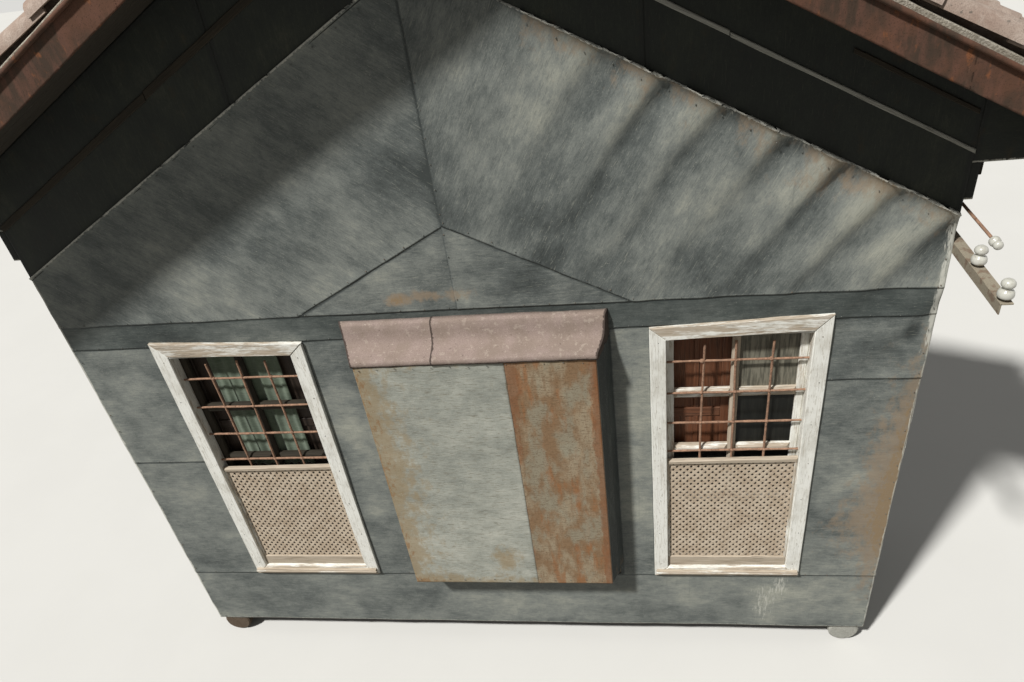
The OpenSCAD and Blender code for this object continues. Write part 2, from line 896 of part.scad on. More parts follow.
// Glass in the right casements, set in the middle of their thickness
module right_panes() {
    y0 = front_y + sash_depth + (sash_t - glass_t) / 2;
    pane_w = (clear_w - 3 * sash_w) / 2;
    for (side = [-1, 1], k = [0 : 2]) {
        top = clear_top - sash_w - k * pane_h;
        middle = right_window_x + side * (sash_w + pane_w) / 2;
        color("#5d6b70") block(
            [middle - pane_w / 2, y0, top - pane_h + sash_w],
            [middle + pane_w / 2, y0 + glass_t, top]
        );
    }
}

module right_shutters() {
    shutters(right_window_x, "#7c3f2c");
}

// Boards over the gable sheets up to the soffit, with the closed ends of the side eaves
module gable_frieze() {
    y0 = front_y - frieze_t + sheet_t;
    top = soffit_rise;
    beam = ridge_beam_w / 2;
    color(dark_wood) {
        front_plate([
            [ridge_x, peak_h], [half_w, rake_z(half_w, 0)], [half_w, moulding_z],
            [half_w + moulding_out, moulding_z], [half_w + moulding_out, eaves_soffit_z],
            [eaves_x, eaves_soffit_z], [eaves_x, rake_z(eaves_x, top)],
            [ridge_x + beam, rake_z(ridge_x + beam, top)], [ridge_x - beam, rake_z(ridge_x - beam, top)],
            [-eaves_x, rake_z(-eaves_x, top)], [-eaves_x, eaves_soffit_z],
            [-half_w - moulding_out, eaves_soffit_z], [-half_w - moulding_out, moulding_z],
            [-half_w, moulding_z], [-half_w, rake_z(-half_w, 0)]
        ], y0, wall_front_y);
        for (side = [-1, 1])
            slope_board(side, 0, half_w - side * ridge_x, batten_rise, batten_rise + batten_w * rise_per_t,
                y0 - frieze_t, y0 + 1);
    }
}

// Beam under the ridge, between the rafters, flush with their lower edges
module ridge_beam() {
    beam = ridge_beam_w / 2;
    color(timber) block(
        [ridge_x - beam, verge_y, rake_z(ridge_x + beam, rafter_rise)],
        [ridge_x + beam, 0, rake_z(ridge_x + beam, boards_rise)]
    );
}

module rafters(side) {
    span = -verge_y - rafter_w;
    for (i = [0 : rafter_count - 1]) {
        y0 = verge_y + span * i / (rafter_count - 1);
        color(timber) slope_board(side, ridge_beam_w / 2, eaves_reach(side, -board_t), rafter_rise, boards_rise,
            y0, y0 + rafter_w);
    }
}

module left_rafters() {
    rafters(-1);
}

module right_rafters() {
    rafters(1);
}

module verge_soffit(side) {
    color(dark_wood) slope_board(side, ridge_beam_w / 2, eaves_reach(side, -board_t), soffit_rise, rafter_rise,
        verge_y, wall_front_y);
}

module left_verge_soffit() {
    verge_soffit(-1);
}

module right_verge_soffit() {
    verge_soffit(1);
}

// Boxed side eaves: stepped moulding on the wall, flat soffit and eaves board
module side_eaves(side) {
    color(dark_wood) {
        front_plate([
            [side * side_x, moulding_z], [side * (half_w + moulding_out), moulding_z],
            [side * (half_w + moulding_out), moulding_z + moulding_step],
            [side * (half_w + moulding_top_out), moulding_z + moulding_step],
            [side * (half_w + moulding_top_out), eaves_soffit_z],
            [side * eaves_x, eaves_soffit_z], [side * eaves_x, rake_z(side * eaves_x, boards_rise)],
            [side * (eaves_x - board_t), rake_z(side * (eaves_x - board_t), boards_rise)],
            [side * (eaves_x - board_t), eaves_soffit_z + board_t],
            [side * side_x, eaves_soffit_z + board_t]
        ], wall_front_y, 0);
        front_plate([
            [side * eaves_x, eaves_soffit_z], [side * eaves_x, rake_z(side * eaves_x, boards_rise)],
            [side * (eaves_x - board_t), rake_z(side * (eaves_x - board_t), boards_rise)],
            [side * (eaves_x - board_t), eaves_soffit_z]
        ], verge_y, front_y - frieze_t + sheet_t);
    }
}

module left_eaves() {
    side_eaves(-1);
}

module right_eaves() {
    side_eaves(1);
}

module roof_boards(side) {
    color("#6a5c49") slope_board(side, 0, eaves_reach(side), boards_rise, tiles_rise, verge_y, 0);
}

module left_roof_boards() {
    roof_boards(-1);
}

module right_roof_boards() {
    roof_boards(1);
}

// Rusty sheet along the verge, with a rolled top edge
module verge_fascia(side) {
    color(rust) {
        slope_board(side, 0, eaves_reach(side), roof_rise, fascia_top_rise, verge_y - sheet_t, verge_y);
        on_slope(side, fascia_top_rise, verge_y - roll_d / 2) translate([roll_d / 2 * slope, 0, 0])
            rotate([0, 90, 0]) cylinder(d = roll_d, h = (eaves_reach(side) - roll_d / 2) * rise_per_t, $fn = 12);
    }
}

// Places a shape on the slope, with its X running down from the ridge
module on_slope(side, rise, y) {
    translate([ridge_x, y, peak_h + rise]) rotate([0, side > 0 ? roof_pitch : 180 - roof_pitch, 0]) children();
}

module left_fascia() {
    verge_fascia(-1);
}

module right_fascia() {
    verge_fascia(1);
}

// Bed of channel tiles with rows of cover tiles down the slope
module tile_field(side) {
    y0 = verge_y + tile_inset;
    reach = eaves_reach(side, tile_out);
    count = floor((-y0 - 2 * tile_r) / tile_pitch) + 1;
    first = y0 + tile_r + (-y0 - 2 * tile_r - (count - 1) * tile_pitch) / 2;
    start = (ridge_tile_r + cover_gap) * rise_per_t;
    color(tile_clay) {
        slope_board(side, 0, reach, tiles_rise, bed_rise, y0, 0);
        intersection() {
            for (i = [0 : count - 1])
                on_slope(side, bed_rise - cover_sink, first + i * tile_pitch)
                    translate([start, 0, 0]) rotate([0, 90, 0]) rotate([0, 0, 15])
                        cylinder(r = tile_r, h = reach * rise_per_t - start, $fn = 12);
            slope_board(side, ridge_tile_r, reach, bed_rise - cover_sink - 2, bed_rise + 2 * tile_r, y0, 0);
        }
    }
}

module left_tiles() {
    tile_field(-1);
}

module right_tiles() {
    tile_field(1);
}

// Half round ridge tiles bedded on the tops of the tile fields
module ridge_tiles() {
    y0 = verge_y + tile_inset;
    seat = rake_z(ridge_x, bed_rise);
    count = ceil(-y0 / ridge_tile_l);
    length = -y0 / count;
    color(tile_clay) for (i = [0 : count - 1]) difference() {
        translate([ridge_x, y0 + i * length, seat - ridge_tile_sink]) rotate([-90, 0, 0])
            cylinder(r = ridge_tile_r, h = length - ridge_tile_gap, $fn = 24);
        front_plate([
            [ridge_x - 2 * ridge_tile_r, rake_z(ridge_x + 2 * ridge_tile_r, bed_rise)],
            [ridge_x, seat],
            [ridge_x + 2 * ridge_tile_r, rake_z(ridge_x + 2 * ridge_tile_r, bed_rise)],
            [ridge_x + 2 * ridge_tile_r, seat - 4 * ridge_tile_r],
            [ridge_x - 2 * ridge_tile_r, seat - 4 * ridge_tile_r]
        ], y0 - 1, 1);
    }
}

// Depth of the upper rod's back end
rod_y = front_y + rod_setback + pin_d / 2;

// Angle iron on the right side wall that reaches out past the front
module insulator_bracket() {
    arm_tip_y = front_y - arm_out;
    foot_y = front_y + arm_foot;
    color(rust) {
        block([half_w, arm_tip_y, arm_z - arm_w], [half_w + arm_t, foot_y, arm_z]);
        block([half_w, arm_tip_y, arm_z - arm_t], [half_w + arm_w, foot_y, arm_z]);
        for (k = [0.25, 0.75])
            translate([half_w + arm_t, front_y + arm_foot * k, arm_z - arm_w / 2 - arm_t / 2])
                rotate([0, 90, 0]) cylinder(d = bolt_d, h = bolt_h, $fn = 6);
        // upper rod for the third insulator
        translate([half_w + arm_w / 2, front_y + rod_setback, arm_z]) cylinder(d = pin_d, h = rod_rise, $fn = 16);
        translate([half_w + arm_w / 2, rod_y, arm_z + rod_rise - pin_d / 2]) rotate([90, 0, 0])
            cylinder(d = pin_d, h = rod_out, $fn = 16);
    }
}

// Porcelain body with two bells and a groove, on a pin
module insulator(top_scale = 1) {
    r = insulator_d / 2 * top_scale;
    h = insulator_h * top_scale;
    rotate_extrude($fn = 24) polygon([
        [0, 0], [r * 0.8, 0], [r, h * 0.16], [r * 0.96, h * 0.36], [r * 0.6, h * 0.46],
        [r * 0.56, h * 0.58], [r * 0.84, h * 0.66], [r * 0.82, h * 0.84], [r * 0.5, h], [0, h]
    ]);
}

module insulators() {
    x = half_w + arm_w / 2;
    color("#e9e6dd") {
        for (i = [0, 1])
            translate([x, front_y - arm_out + insulator_inset + i * insulator_pitch, arm_z]) {
                cylinder(d = pin_d, h = pin_seat + 1, $fn = 16);
                translate([0, 0, pin_seat]) insulator();
            }
        translate([x, rod_y - rod_out, arm_z + rod_rise - pin_d / 2])
            rotate([90, 0, 0]) insulator(small_insulator);
    }
}

left_log();
middle_log();
right_log();
front_beam();
floor_joists();
floor_boards();
front_wall();
left_wall();
right_wall();
base_sheet();
left_pier_sheet();
left_inner_sheet();
right_inner_sheet();
right_pier_sheet();
head_sheet();
left_gable_sheet();
right_gable_sheet();
gable_apron();
left_side_sheet();
right_side_sheet();
box_frame();
box_front_sheet();
box_rusty_sheet();
box_side_sheets();
box_cap_left();
box_cap_right();
left_casing();
left_bars();
left_screen_frame();
left_lattice_upper();
left_lattice_lower();
left_casements();
left_curtain();
left_shutters();
right_casing();
right_bars();
right_screen_frame();
right_lattice_upper();
right_lattice_lower();
right_casements();
right_panes();
right_shutters();
gable_frieze();
ridge_beam();
left_rafters();
right_rafters();
left_verge_soffit();
right_verge_soffit();
left_eaves();
right_eaves();
left_roof_boards();
right_roof_boards();
left_fascia();
right_fascia();
left_tiles();
right_tiles();
ridge_tiles();
insulator_bracket();
insulators();
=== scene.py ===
import json
import math

import bmesh
import bpy
from bpy.props import FloatProperty, FloatVectorProperty, IntProperty, PointerProperty
from mathutils import Matrix, Vector, noise


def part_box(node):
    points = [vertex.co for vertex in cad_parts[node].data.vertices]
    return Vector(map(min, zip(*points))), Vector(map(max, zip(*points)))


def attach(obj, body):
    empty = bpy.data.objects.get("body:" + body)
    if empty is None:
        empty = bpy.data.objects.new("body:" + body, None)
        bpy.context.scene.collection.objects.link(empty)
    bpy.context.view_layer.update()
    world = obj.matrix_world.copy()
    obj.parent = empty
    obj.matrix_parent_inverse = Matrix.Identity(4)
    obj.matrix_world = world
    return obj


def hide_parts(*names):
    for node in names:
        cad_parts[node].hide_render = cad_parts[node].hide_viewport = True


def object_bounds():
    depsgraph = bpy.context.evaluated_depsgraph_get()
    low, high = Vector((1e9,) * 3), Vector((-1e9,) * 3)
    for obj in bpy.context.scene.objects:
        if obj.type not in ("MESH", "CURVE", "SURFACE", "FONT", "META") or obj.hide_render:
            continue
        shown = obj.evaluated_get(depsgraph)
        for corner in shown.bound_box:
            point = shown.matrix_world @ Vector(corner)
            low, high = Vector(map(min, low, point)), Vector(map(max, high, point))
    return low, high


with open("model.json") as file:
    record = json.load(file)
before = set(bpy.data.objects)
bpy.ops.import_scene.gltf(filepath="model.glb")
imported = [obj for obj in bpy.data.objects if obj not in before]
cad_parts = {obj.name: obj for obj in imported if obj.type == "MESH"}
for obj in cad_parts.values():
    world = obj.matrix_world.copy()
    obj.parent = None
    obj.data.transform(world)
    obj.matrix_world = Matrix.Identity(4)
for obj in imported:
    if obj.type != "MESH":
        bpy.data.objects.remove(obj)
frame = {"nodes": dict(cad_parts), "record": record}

bl_info = {
    "name": "Mashrabiya bay",
    "version": (1, 0, 0),
    "blender": (4, 5, 0),
    "location": "View3D > Sidebar > Bay",
    "description": "Dresses a sheet-clad timber bay with two lattice windows over its CAD frame",
    "category": "Object",
}


def low(node):
    """Lowest corner of a CAD node."""
    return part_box(node)[0]


def high(node):
    """Highest corner of a CAD node."""
    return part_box(node)[1]


def tone(text):
    """An sRGB hex colour as linear RGBA."""
    parts = [int(text[i:i + 2], 16) / 255 for i in (1, 3, 5)]
    return tuple(p / 12.92 if p <= 0.04045 else ((p + 0.055) / 1.055) ** 2.4 for p in parts) + (1.0,)


# Places that everything is built from, in metres, read from the CAD frame
CAD_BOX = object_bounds()
GROUND_Z = CAD_BOX[0].z
HALF_W = high("base_sheet").x
WALL_Y = low("front_wall").y
WALL_IN_Y = high("front_wall").y
FRONT_Y = WALL_Y - 0.003
SIDE_X = high("right_wall").x
BASE_TOP = low("right_pier_sheet").z
WINDOW_TOP = high("right_pier_sheet").z
HEAD_TOP = high("head_sheet").z
SEAM_X = low("right_gable_sheet").x
APRON_L = low("gable_apron").x
APRON_R, APRON_TOP = high("gable_apron").x, high("gable_apron").z
LAP_Z = 1.632
RIGHT_LAP_Z = 2.130
BOX_L, BOX_Y, BOX_Z = low("box_front_sheet")
BOX_TOP = high("box_front_sheet").z
BOX_R = high("box_side_sheets").x
BOX_FRONT_R = high("box_rusty_sheet").x
BOX_SEAM = low("box_rusty_sheet").x + 0.014
SHEET_JOINT = (BOX_Z + BOX_TOP) / 2 + 0.02
SIDES = {"left": -1, "right": 1}
WINDOWS = {name: (low(name + "_casing").x + high(name + "_casing").x) / 2 for name in SIDES}
CASING_W = high("right_casing").x - low("right_casing").x
CASING_Z, CASING_TOP = low("right_casing").z, high("right_casing").z
CLEAR_W = high("right_casements").x - low("right_casements").x
CLEAR_Z, CLEAR_TOP = low("right_casements").z, high("right_casements").z
LATTICE_Y = low("right_lattice_upper").y
SCREEN_TOP = high("right_screen_frame").z
STILE = 0.042
PANE_H = 0.405

# The roof: its pitch, and the heights of its layers over the gable sheets' slope
RIDGE_X = (low("ridge_beam").x + high("ridge_beam").x) / 2
RIDGE_HALF = 0.030
PEAK_Z = high("right_gable_sheet").z
PITCH = math.radians(29.25)
SLOPE = math.tan(PITCH)
VERGE_Y = low("right_rafters").y
EAVES_X = high("right_roof_boards").x
MOULD_Z = low("right_eaves").z
SOFFIT_Z = MOULD_Z + 0.170

# Timber: thickness of the wall boards and of an opening's lining, the gap between boards, half a post's width
BOARD_T, LINING_T, BOARD_GAP, POST_HALF = 0.024, 0.020, 0.0015, 0.045


def rake(x, rise=0.0):
    """Height of the gable's slope over x, raised by rise."""
    return PEAK_Z + rise - SLOPE * abs(x - RIDGE_X)


SOFFIT_RISE = high("gable_frieze").z - rake(RIDGE_X + RIDGE_HALF)
RAFTER_RISE = high("front_wall").z - rake(RIDGE_X + RIDGE_HALF)
BOARDS_RISE = high("right_rafters").z - rake(RIDGE_X + RIDGE_HALF)
TILES_RISE = high("right_roof_boards").z - rake(RIDGE_X)
BED_RISE = TILES_RISE + 0.026 / math.cos(PITCH)
FASCIA_RISE, FASCIA_TOP = 0.550, 0.696


def smooth(a, b, x):
    """0 before a, 1 after b and a soft step between."""
    t = min(1.0, max(0.0, (x - a) / (b - a)))
    return t * t * (3 - 2 * t)


def wave(u, v, size, seed):
    """A smooth swell from about -1 to 1 with waves of a size."""
    return noise.noise(Vector((u / size, v / size, seed)))


def colour(label, words, text):
    """A colour property with its default as sRGB hex."""
    return FloatVectorProperty(name=label, description=words, subtype="COLOR", size=3, min=0, max=1,
                               default=tone(text)[:3])


def length(label, words, value, low_end=0.0):
    """A length property in metres."""
    return FloatProperty(name=label, description=words, default=value, min=low_end, precision=4,
                         unit="LENGTH")


class BaySizes(bpy.types.PropertyGroup):
    """Sizes of the bay's finish that the CAD frame doesn't hold."""
    sheet_t: length("Sheet thickness", "Thickness that the sheet metal shows at its laps", 0.0015)
    lap: length("Lap", "Width by which a sheet lies over the one below", 0.014)
    dent: length("Dents", "Depth of the broad dents in the sheets", 0.0045)
    fold: length("Gable folds", "Depth of the slanting folds in the right gable sheet", 0.014)
    step: length("Sheet mesh", "Size of the mesh cells in the sheets", 0.026, 0.01)
    nail_pitch: length("Nail pitch", "Distance between the nails along a lap", 0.13, 0.02)
    nail_r: length("Nail head", "Radius of a nail's head", 0.0036)
    felt_t: length("Felt", "Thickness of the mineral felt on the box", 0.007)
    board_w: length("Wall boards", "Width of the boards of the walls", 0.184, 0.05)
    tile_l: length("Tile length", "Length of a roof tile", 0.40, 0.1)
    tile_course: length("Tile course", "Distance from one tile to the next down the slope", 0.335, 0.1)
    tile_pitch: length("Tile rows", "Distance between the rows of cover tiles", 0.192, 0.1)
    tile_r: length("Tile radius", "Radius of a cover tile at its wide end", 0.072, 0.02)
    bar_r: length("Bar radius", "Radius of the iron bars", 0.0065, 0.002)
    roll_r: length("Roll", "Radius of the rolled top edge of the verge sheet", 0.0105, 0.002)
    seed: IntProperty(name="Seed", description="Seed of all that is uneven", default=7, min=0)


class BayColours(bpy.types.PropertyGroup):
    """Main colours of the bay."""
    slate: colour("Slate", "Dark tone of the weathered sheet", "#575b58")
    chalk: colour("Chalk", "Pale chalky tone of the weathered sheet", "#9b9b8e")
    pale_sheet: colour("Pale sheet", "Sheet on the front of the box", "#9a9b90")
    ochre: colour("Ochre", "Rust stain that has run over sheet", "#8d7b65")
    rust: colour("Rust", "Bright rust on sheet", "#8c5f3b")
    old_rust: colour("Old rust", "Dark rust on the verge sheet", "#5c4031")
    felt: colour("Felt", "Mineral felt of the box's cap", "#84756a")
    paint: colour("Paint", "Flaking paint of the casings", "#e6e5dc")
    bare: colour("Bare wood", "Wood where the paint is gone", "#a39683")
    lath: colour("Laths", "Laths of the lattice screens", "#c0b19c")
    timber: colour("Timber", "Rough timber of beams and joists", "#5b4d3f")
    tile: colour("Tiles", "Fired clay of the roof tiles", "#9a8a7d")
    iron: colour("Iron", "Rusted iron bars", "#8b6e5a")
    red_paint: colour("Red-brown paint", "Old paint of the right shutters", "#623a24")
    floor: colour("Floor", "Floor that the bay stands on", "#c2c0ba")


def sizes():
    """The scene's sizes for the bay."""
    return bpy.context.scene.bay_sizes


# Materials

def shade(text):
    """A colour as RGBA, from sRGB hex or from the name of one of the scene's colours."""
    if text.startswith("#"):
        return tone(text)
    return tuple(getattr(bpy.context.scene.bay_colours, text)) + (1.0,)


def add(tree, kind, inputs=None, **settings):
    """Adds a node with its settings, and fills or links its inputs. A text in an input is a colour."""
    node = tree.nodes.new(kind)
    for name, value in settings.items():
        setattr(node, name, value)
    for name, value in (inputs or {}).items():
        if isinstance(name, int):
            socket = node.inputs[name]
        else:
            socket = next(s for s in node.inputs if s.name == name and s.enabled)
        if isinstance(value, bpy.types.Node):
            value = next(s for s in value.outputs if s.enabled)
        if isinstance(value, bpy.types.NodeSocket):
            tree.links.new(value, socket)
        else:
            socket.default_value = shade(value) if isinstance(value, str) else value
    return node


def new_finish(name):
    """An empty material with its tree and the place on the object that its patterns read."""
    material = bpy.data.materials.new(name)
    material.use_nodes = True
    material.node_tree.nodes.clear()
    place = add(material.node_tree, "ShaderNodeTexCoord").outputs["Object"]
    return material, material.node_tree, place


def cloud(tree, place, scale, detail, rough, shift=(0, 0, 0)):
    """A cloudy level from 0 to 1 with a scale along each axis."""
    spot = add(tree, "ShaderNodeMapping", {"Vector": place, "Location": shift, "Scale": scale})
    return add(tree, "ShaderNodeTexNoise", {
        "Vector": spot, "Scale": 1.0, "Detail": detail, "Roughness": rough})


def finer(size, stretch):
    """The scale of a pattern of a size in metres. It is drawn out along Z, or along all three axes."""
    drawn = stretch if isinstance(stretch, tuple) else (1, 1, stretch)
    return [1 / (size * s) for s in drawn]


def patches(tree, place, size, stretch=1, low_end=0.4, high_end=0.6, top=1.0, detail=4.0, seed=0.0):
    """A mask of soft patches of a size in metres, drawn out by stretch."""
    level = cloud(tree, place, finer(size, stretch), detail, 0.6, (seed, seed, seed))
    return add(tree, "ShaderNodeMapRange", {
        "Value": level, "From Min": low_end, "From Max": high_end, "To Max": top},
        interpolation_type="SMOOTHSTEP")


def spread(tree, place, name, size, top=1.0, stretch=1, soft=0.22):
    """A mask that follows what is painted on the mesh, with its edge broken up by patches of a size."""
    painted = add(tree, "ShaderNodeAttribute", attribute_name=name).outputs["Fac"]
    level = cloud(tree, place, finer(size, stretch), 7.0, 0.74)
    total = add(tree, "ShaderNodeMath", {0: level, 1: 1.3, 2: painted}, operation="MULTIPLY_ADD")
    return add(tree, "ShaderNodeMapRange", {
        "Value": total, "From Min": 1.06 - soft / 2, "From Max": 1.06 + soft / 2, "To Max": top},
        interpolation_type="SMOOTHSTEP")


def coats(tree, base, layers):
    """Lays each colour over the last where its mask is, and gives the result."""
    for mask, top in layers:
        base = add(tree, "ShaderNodeMix", {"Factor": mask, "A": base, "B": top}, data_type="RGBA")
    return base


def blended(tree, parts, total=0.0):
    """A height or level made of masks, each times its share, on top of a total."""
    for mask, share in parts:
        total = add(tree, "ShaderNodeMath", {0: mask, 1: share, 2: total}, operation="MULTIPLY_ADD")
    return total


def close(tree, top, height, relief, rough, shader=None):
    """Ends a material with a bump of relief metres, the shader and the output. Dust and rust leave little
    shine, so the specular level is low unless the finish gives its own."""
    bump = add(tree, "ShaderNodeBump", {"Strength": 1.0, "Distance": relief, "Height": height})
    inputs = {"Base Color": top, "Normal": bump, "Roughness": rough, "Specular IOR Level": 0.2}
    inputs.update(shader or {})
    add(tree, "ShaderNodeOutputMaterial", {"Surface": add(tree, "ShaderNodeBsdfPrincipled", inputs)})


def layered(name, base, relief, rough, layers, shader=None):
    """A finish of coats over a base colour. A layer is its colour, its share in the height, and its mask: the
    numbers of patches, or the name of what is painted on the mesh with the numbers of its spread."""
    material, tree, place = new_finish(name)
    masks = []
    for _, _, *facts in layers:
        kind = spread if isinstance(facts[0], str) else patches
        masks.append(kind(tree, place, *facts))
    top = coats(tree, base, [(mask, layer[0]) for mask, layer in zip(masks, layers)])
    height = blended(tree, [(mask, layer[1]) for mask, layer in zip(masks, layers) if layer[1]])
    close(tree, top, height, relief, rough, shader)
    return material


def zinc_sheet(name, stops, ochre, bright, gloss=0.6, contrast=1.0, wiped=0.3):
    """Weathered zinc-coated sheet: cloudy tones drawn out along the way each sheet was rolled and wiped,
    chalk, fine scratches, runs and stains. The mesh carries the lay, in metres along and across the sheet."""
    material, tree, place = new_finish(name)
    lay = add(tree, "ShaderNodeAttribute", attribute_name="lay").outputs["Vector"]
    level = 0.5
    heights = []
    # clouds of about 400 mm and 100 mm, wiping marks 10 mm wide and 90 mm long, grit of 4 mm
    for size, stretch, share, detail, rough in (
        (0.42, 1.3, 1.15, 6.0, 0.62), (0.10, 1.7, 0.85, 7.0, 0.76), (0.010, 9.0, 0.3, 3.0, 0.6),
        (0.004, 2.0, 0.34, 2.0, 0.6),
    ):
        part = cloud(tree, lay, finer(size, (stretch, 1, 1)), detail, rough, (size * 90, 3.0, 0.0))
        around = add(tree, "ShaderNodeMath", {0: part, 1: 0.5}, operation="SUBTRACT")
        level = blended(tree, [(around, share * contrast)], level)
        heights.append((part, min(1.0, size * 9)))
    # chalk and grime are painted stains; on the gable's folds and the box's sides they are painted highlight
    # and shade
    for label, share in (("chalk", 0.42), ("grime", -0.5)):
        painted = add(tree, "ShaderNodeAttribute", attribute_name=label).outputs["Fac"]
        level = blended(tree, [(painted, share)], level)
    run_of_tones = add(tree, "ShaderNodeValToRGB", {"Fac": level})
    marks = run_of_tones.color_ramp.elements
    while len(marks) < len(stops):
        marks.new(0.5)
    for mark, (at, text) in zip(marks, stops):
        mark.position = at
        mark.color = shade(text)
    dark, mid, pale = stops[0][1], stops[1][1], stops[-1][1]
    scratch = patches(tree, lay, 0.004, (12, 1, 1), 0.57, 0.65, wiped, 3.0, 5.0)
    flake = spread(tree, place, "flake", 0.012, 0.75, 7)
    top = coats(tree, run_of_tones.outputs["Color"], [
        (scratch, dark),
        (patches(tree, lay, 0.004, (14, 1, 1), 0.62, 0.7, 0.4, 2.0, 8.0), pale),
        # runs straight down, rust and its bright core, specks of lime
        (patches(tree, place, 0.014, 24, 0.58, 0.78, 0.3, 3.0, 11.0), mid),
        (spread(tree, place, "rust", 0.055, 0.66, 1.6, 0.34), ochre),
        (spread(tree, place, "core", 0.022, 0.6, 2), bright),
        (patches(tree, place, 0.007, 1, 0.73, 0.76, 0.6, 1.0, 14.0), pale),
        (flake, "#c4c2b6"),
    ])
    close(tree, top, blended(tree, heights + [(scratch, -0.25), (flake, 0.5)]), 0.0011, gloss)
    return material


def wood_finish(name, dark, mid, light, relief=0.0009, rough=0.82):
    """Weathered softwood: fibres along the grain, darker rings and cracks."""
    material, tree, _ = new_finish(name)
    # each board carries its own grain direction: x across, y through and z along, in metres
    grain = add(tree, "ShaderNodeAttribute", attribute_name="grain").outputs["Vector"]
    wear = add(tree, "ShaderNodeAttribute", attribute_name="wear").outputs["Fac"]
    ring = patches(tree, grain, 0.016, 22, 0.4, 0.62, 0.8, 3.0)
    fibre = patches(tree, grain, 0.0032, 45, 0.4, 0.64, 0.7, 3.0, 4.0)
    crack = patches(tree, grain, 0.0026, 70, 0.66, 0.72, 0.85, 2.0, 9.0)
    stain = patches(tree, grain, 0.12, 2.5, 0.35, 0.68, 0.6, 4.0, 13.0)
    # a board's painted wear darkens it: worn wood, and on the right shutter leaf and the casements' lower
    # boards painted shade
    worn = add(tree, "ShaderNodeMath", {0: wear, 1: 0.55}, operation="MULTIPLY")
    top = coats(tree, mid, [(ring, dark), (fibre, light), (stain, mid), (worn, dark), (crack, "#1f1a15")])
    close(tree, top, blended(tree, [(fibre, 0.4), (ring, -0.3), (crack, -1.0)]), relief, rough)
    return material


def flaking_paint(name):
    """Off-white oil paint that has cracked and flaked off pale grey-brown wood."""
    material, tree, place = new_finish(name)
    grain = add(tree, "ShaderNodeAttribute", attribute_name="grain").outputs["Vector"]
    wear = add(tree, "ShaderNodeAttribute", attribute_name="wear").outputs["Fac"]
    fibre, ring, crack, craze, worn_line = (patches(tree, grain, *facts) for facts in (
        (0.0035, 45, 0.4, 0.64, 0.75, 3.0, 4.0), (0.014, 20, 0.42, 0.62, 0.6, 3.0),
        (0.003, 70, 0.64, 0.7, 0.9, 2.0, 9.0), (0.006, 6, 0.56, 0.66, 0.4, 3.0, 6.0),
        (0.004, 50, 0.55, 0.7, 0.45, 2.0, 17.0)))
    wood = coats(tree, "bare", [(ring, "#8f806d"), (fibre, "#bdb09e"), (crack, "#4a3f33")])
    # paint is left where the wear painted on the board is low, in flakes 10 to 40 mm wide and longer
    # along the grain
    level = blended(tree, [(cloud(tree, grain, (26, 26, 3.2), 5.0, 0.65), 0.75),
                           (cloud(tree, grain, (110, 110, 16), 5.0, 0.65), 0.45)])
    left = add(tree, "ShaderNodeMath", {0: level, 1: wear}, operation="SUBTRACT")
    film = add(tree, "ShaderNodeMapRange", {"Value": left, "From Min": 0.04, "From Max": 0.2, "To Max": 0.92},
               interpolation_type="SMOOTHSTEP")
    dirt = patches(tree, place, 0.09, 1.6, 0.42, 0.72, 0.5, 5.0, 2.0)
    painted = coats(tree, "paint", [(dirt, "#b4b0a3"), (worn_line, "#a59c8a"), (craze, "#8f8672")])
    height = blended(tree, [(film, 0.6), (fibre, 0.3), (crack, -0.8), (worn_line, -0.3)])
    close(tree, coats(tree, wood, [(film, painted)]), height, 0.001, 0.72)
    return material


def lath_wood(name):
    """Brown-washed laths, greyed by weather. The lattice is a CAD node, so the fibre runs both ways."""
    material, tree, place = new_finish(name)
    stain = patches(tree, place, 0.1, 1, 0.36, 0.66, 0.7)
    dirt = patches(tree, place, 0.018, 1, 0.5, 0.68, 0.55, 4.0, 7.0)
    fibre = patches(tree, place, 0.0035, (4, 1, 4), 0.4, 0.64, 0.5, 3.0, 4.0)
    # painted shade: the laths are darkened behind their front faces, in the holes
    hole = add(tree, "ShaderNodeMapRange", {
        "Value": add(tree, "ShaderNodeSeparateXYZ", {"Vector": place}).outputs["Y"],
        "From Min": LATTICE_Y + 0.0016, "From Max": LATTICE_Y + 0.0034, "To Max": 0.95})
    top = coats(tree, "lath", [(stain, "#a39079"), (fibre, "#bdae9a"), (dirt, "#7c6853"), (hole, "#2b231b")])
    close(tree, top, blended(tree, [(fibre, 0.6), (dirt, -0.4)]), 0.0006, 0.8)
    return material


def dusty_glass(name):
    """Glass under years of dust, streaked by rain, near-black beneath as painted shade of the room behind."""
    material, tree, place = new_finish(name)
    wear = add(tree, "ShaderNodeAttribute", attribute_name="wear").outputs["Fac"]
    streak = patches(tree, place, 0.012, 12, 0.38, 0.68, 0.8, 4.0)
    dust = add(tree, "ShaderNodeMath", {0: streak, 1: wear}, operation="MULTIPLY")
    film = blended(tree, [(wear, 0.5)], dust)
    close(tree, coats(tree, "#0b0d0c", [(film, "#767264")]), blended(tree, [(streak, 0.5)]), 0.0002, 0.35,
          {"Specular IOR Level": 0.12})
    return material


def floor_plaster(name):
    """A plain pale floor, a little uneven in tone. It lights the bay less than it shows."""
    material, tree, place = new_finish(name)
    uneven = patches(tree, place, 0.8, 1, 0.35, 0.65, 0.3)
    path = add(tree, "ShaderNodeLightPath").outputs
    seen = add(tree, "ShaderNodeMath", {0: path["Is Camera Ray"], 1: path["Is Glossy Ray"]},
               operation="MAXIMUM")
    seen = add(tree, "ShaderNodeMath", {0: seen, 1: path["Is Transmission Ray"]}, operation="MAXIMUM")
    top = coats(tree, "#716f6a", [(seen, coats(tree, "floor", [(uneven, "#bdbbb5")]))])
    close(tree, top, blended(tree, [(uneven, 0.2)]), 0.001, 0.9)
    return material


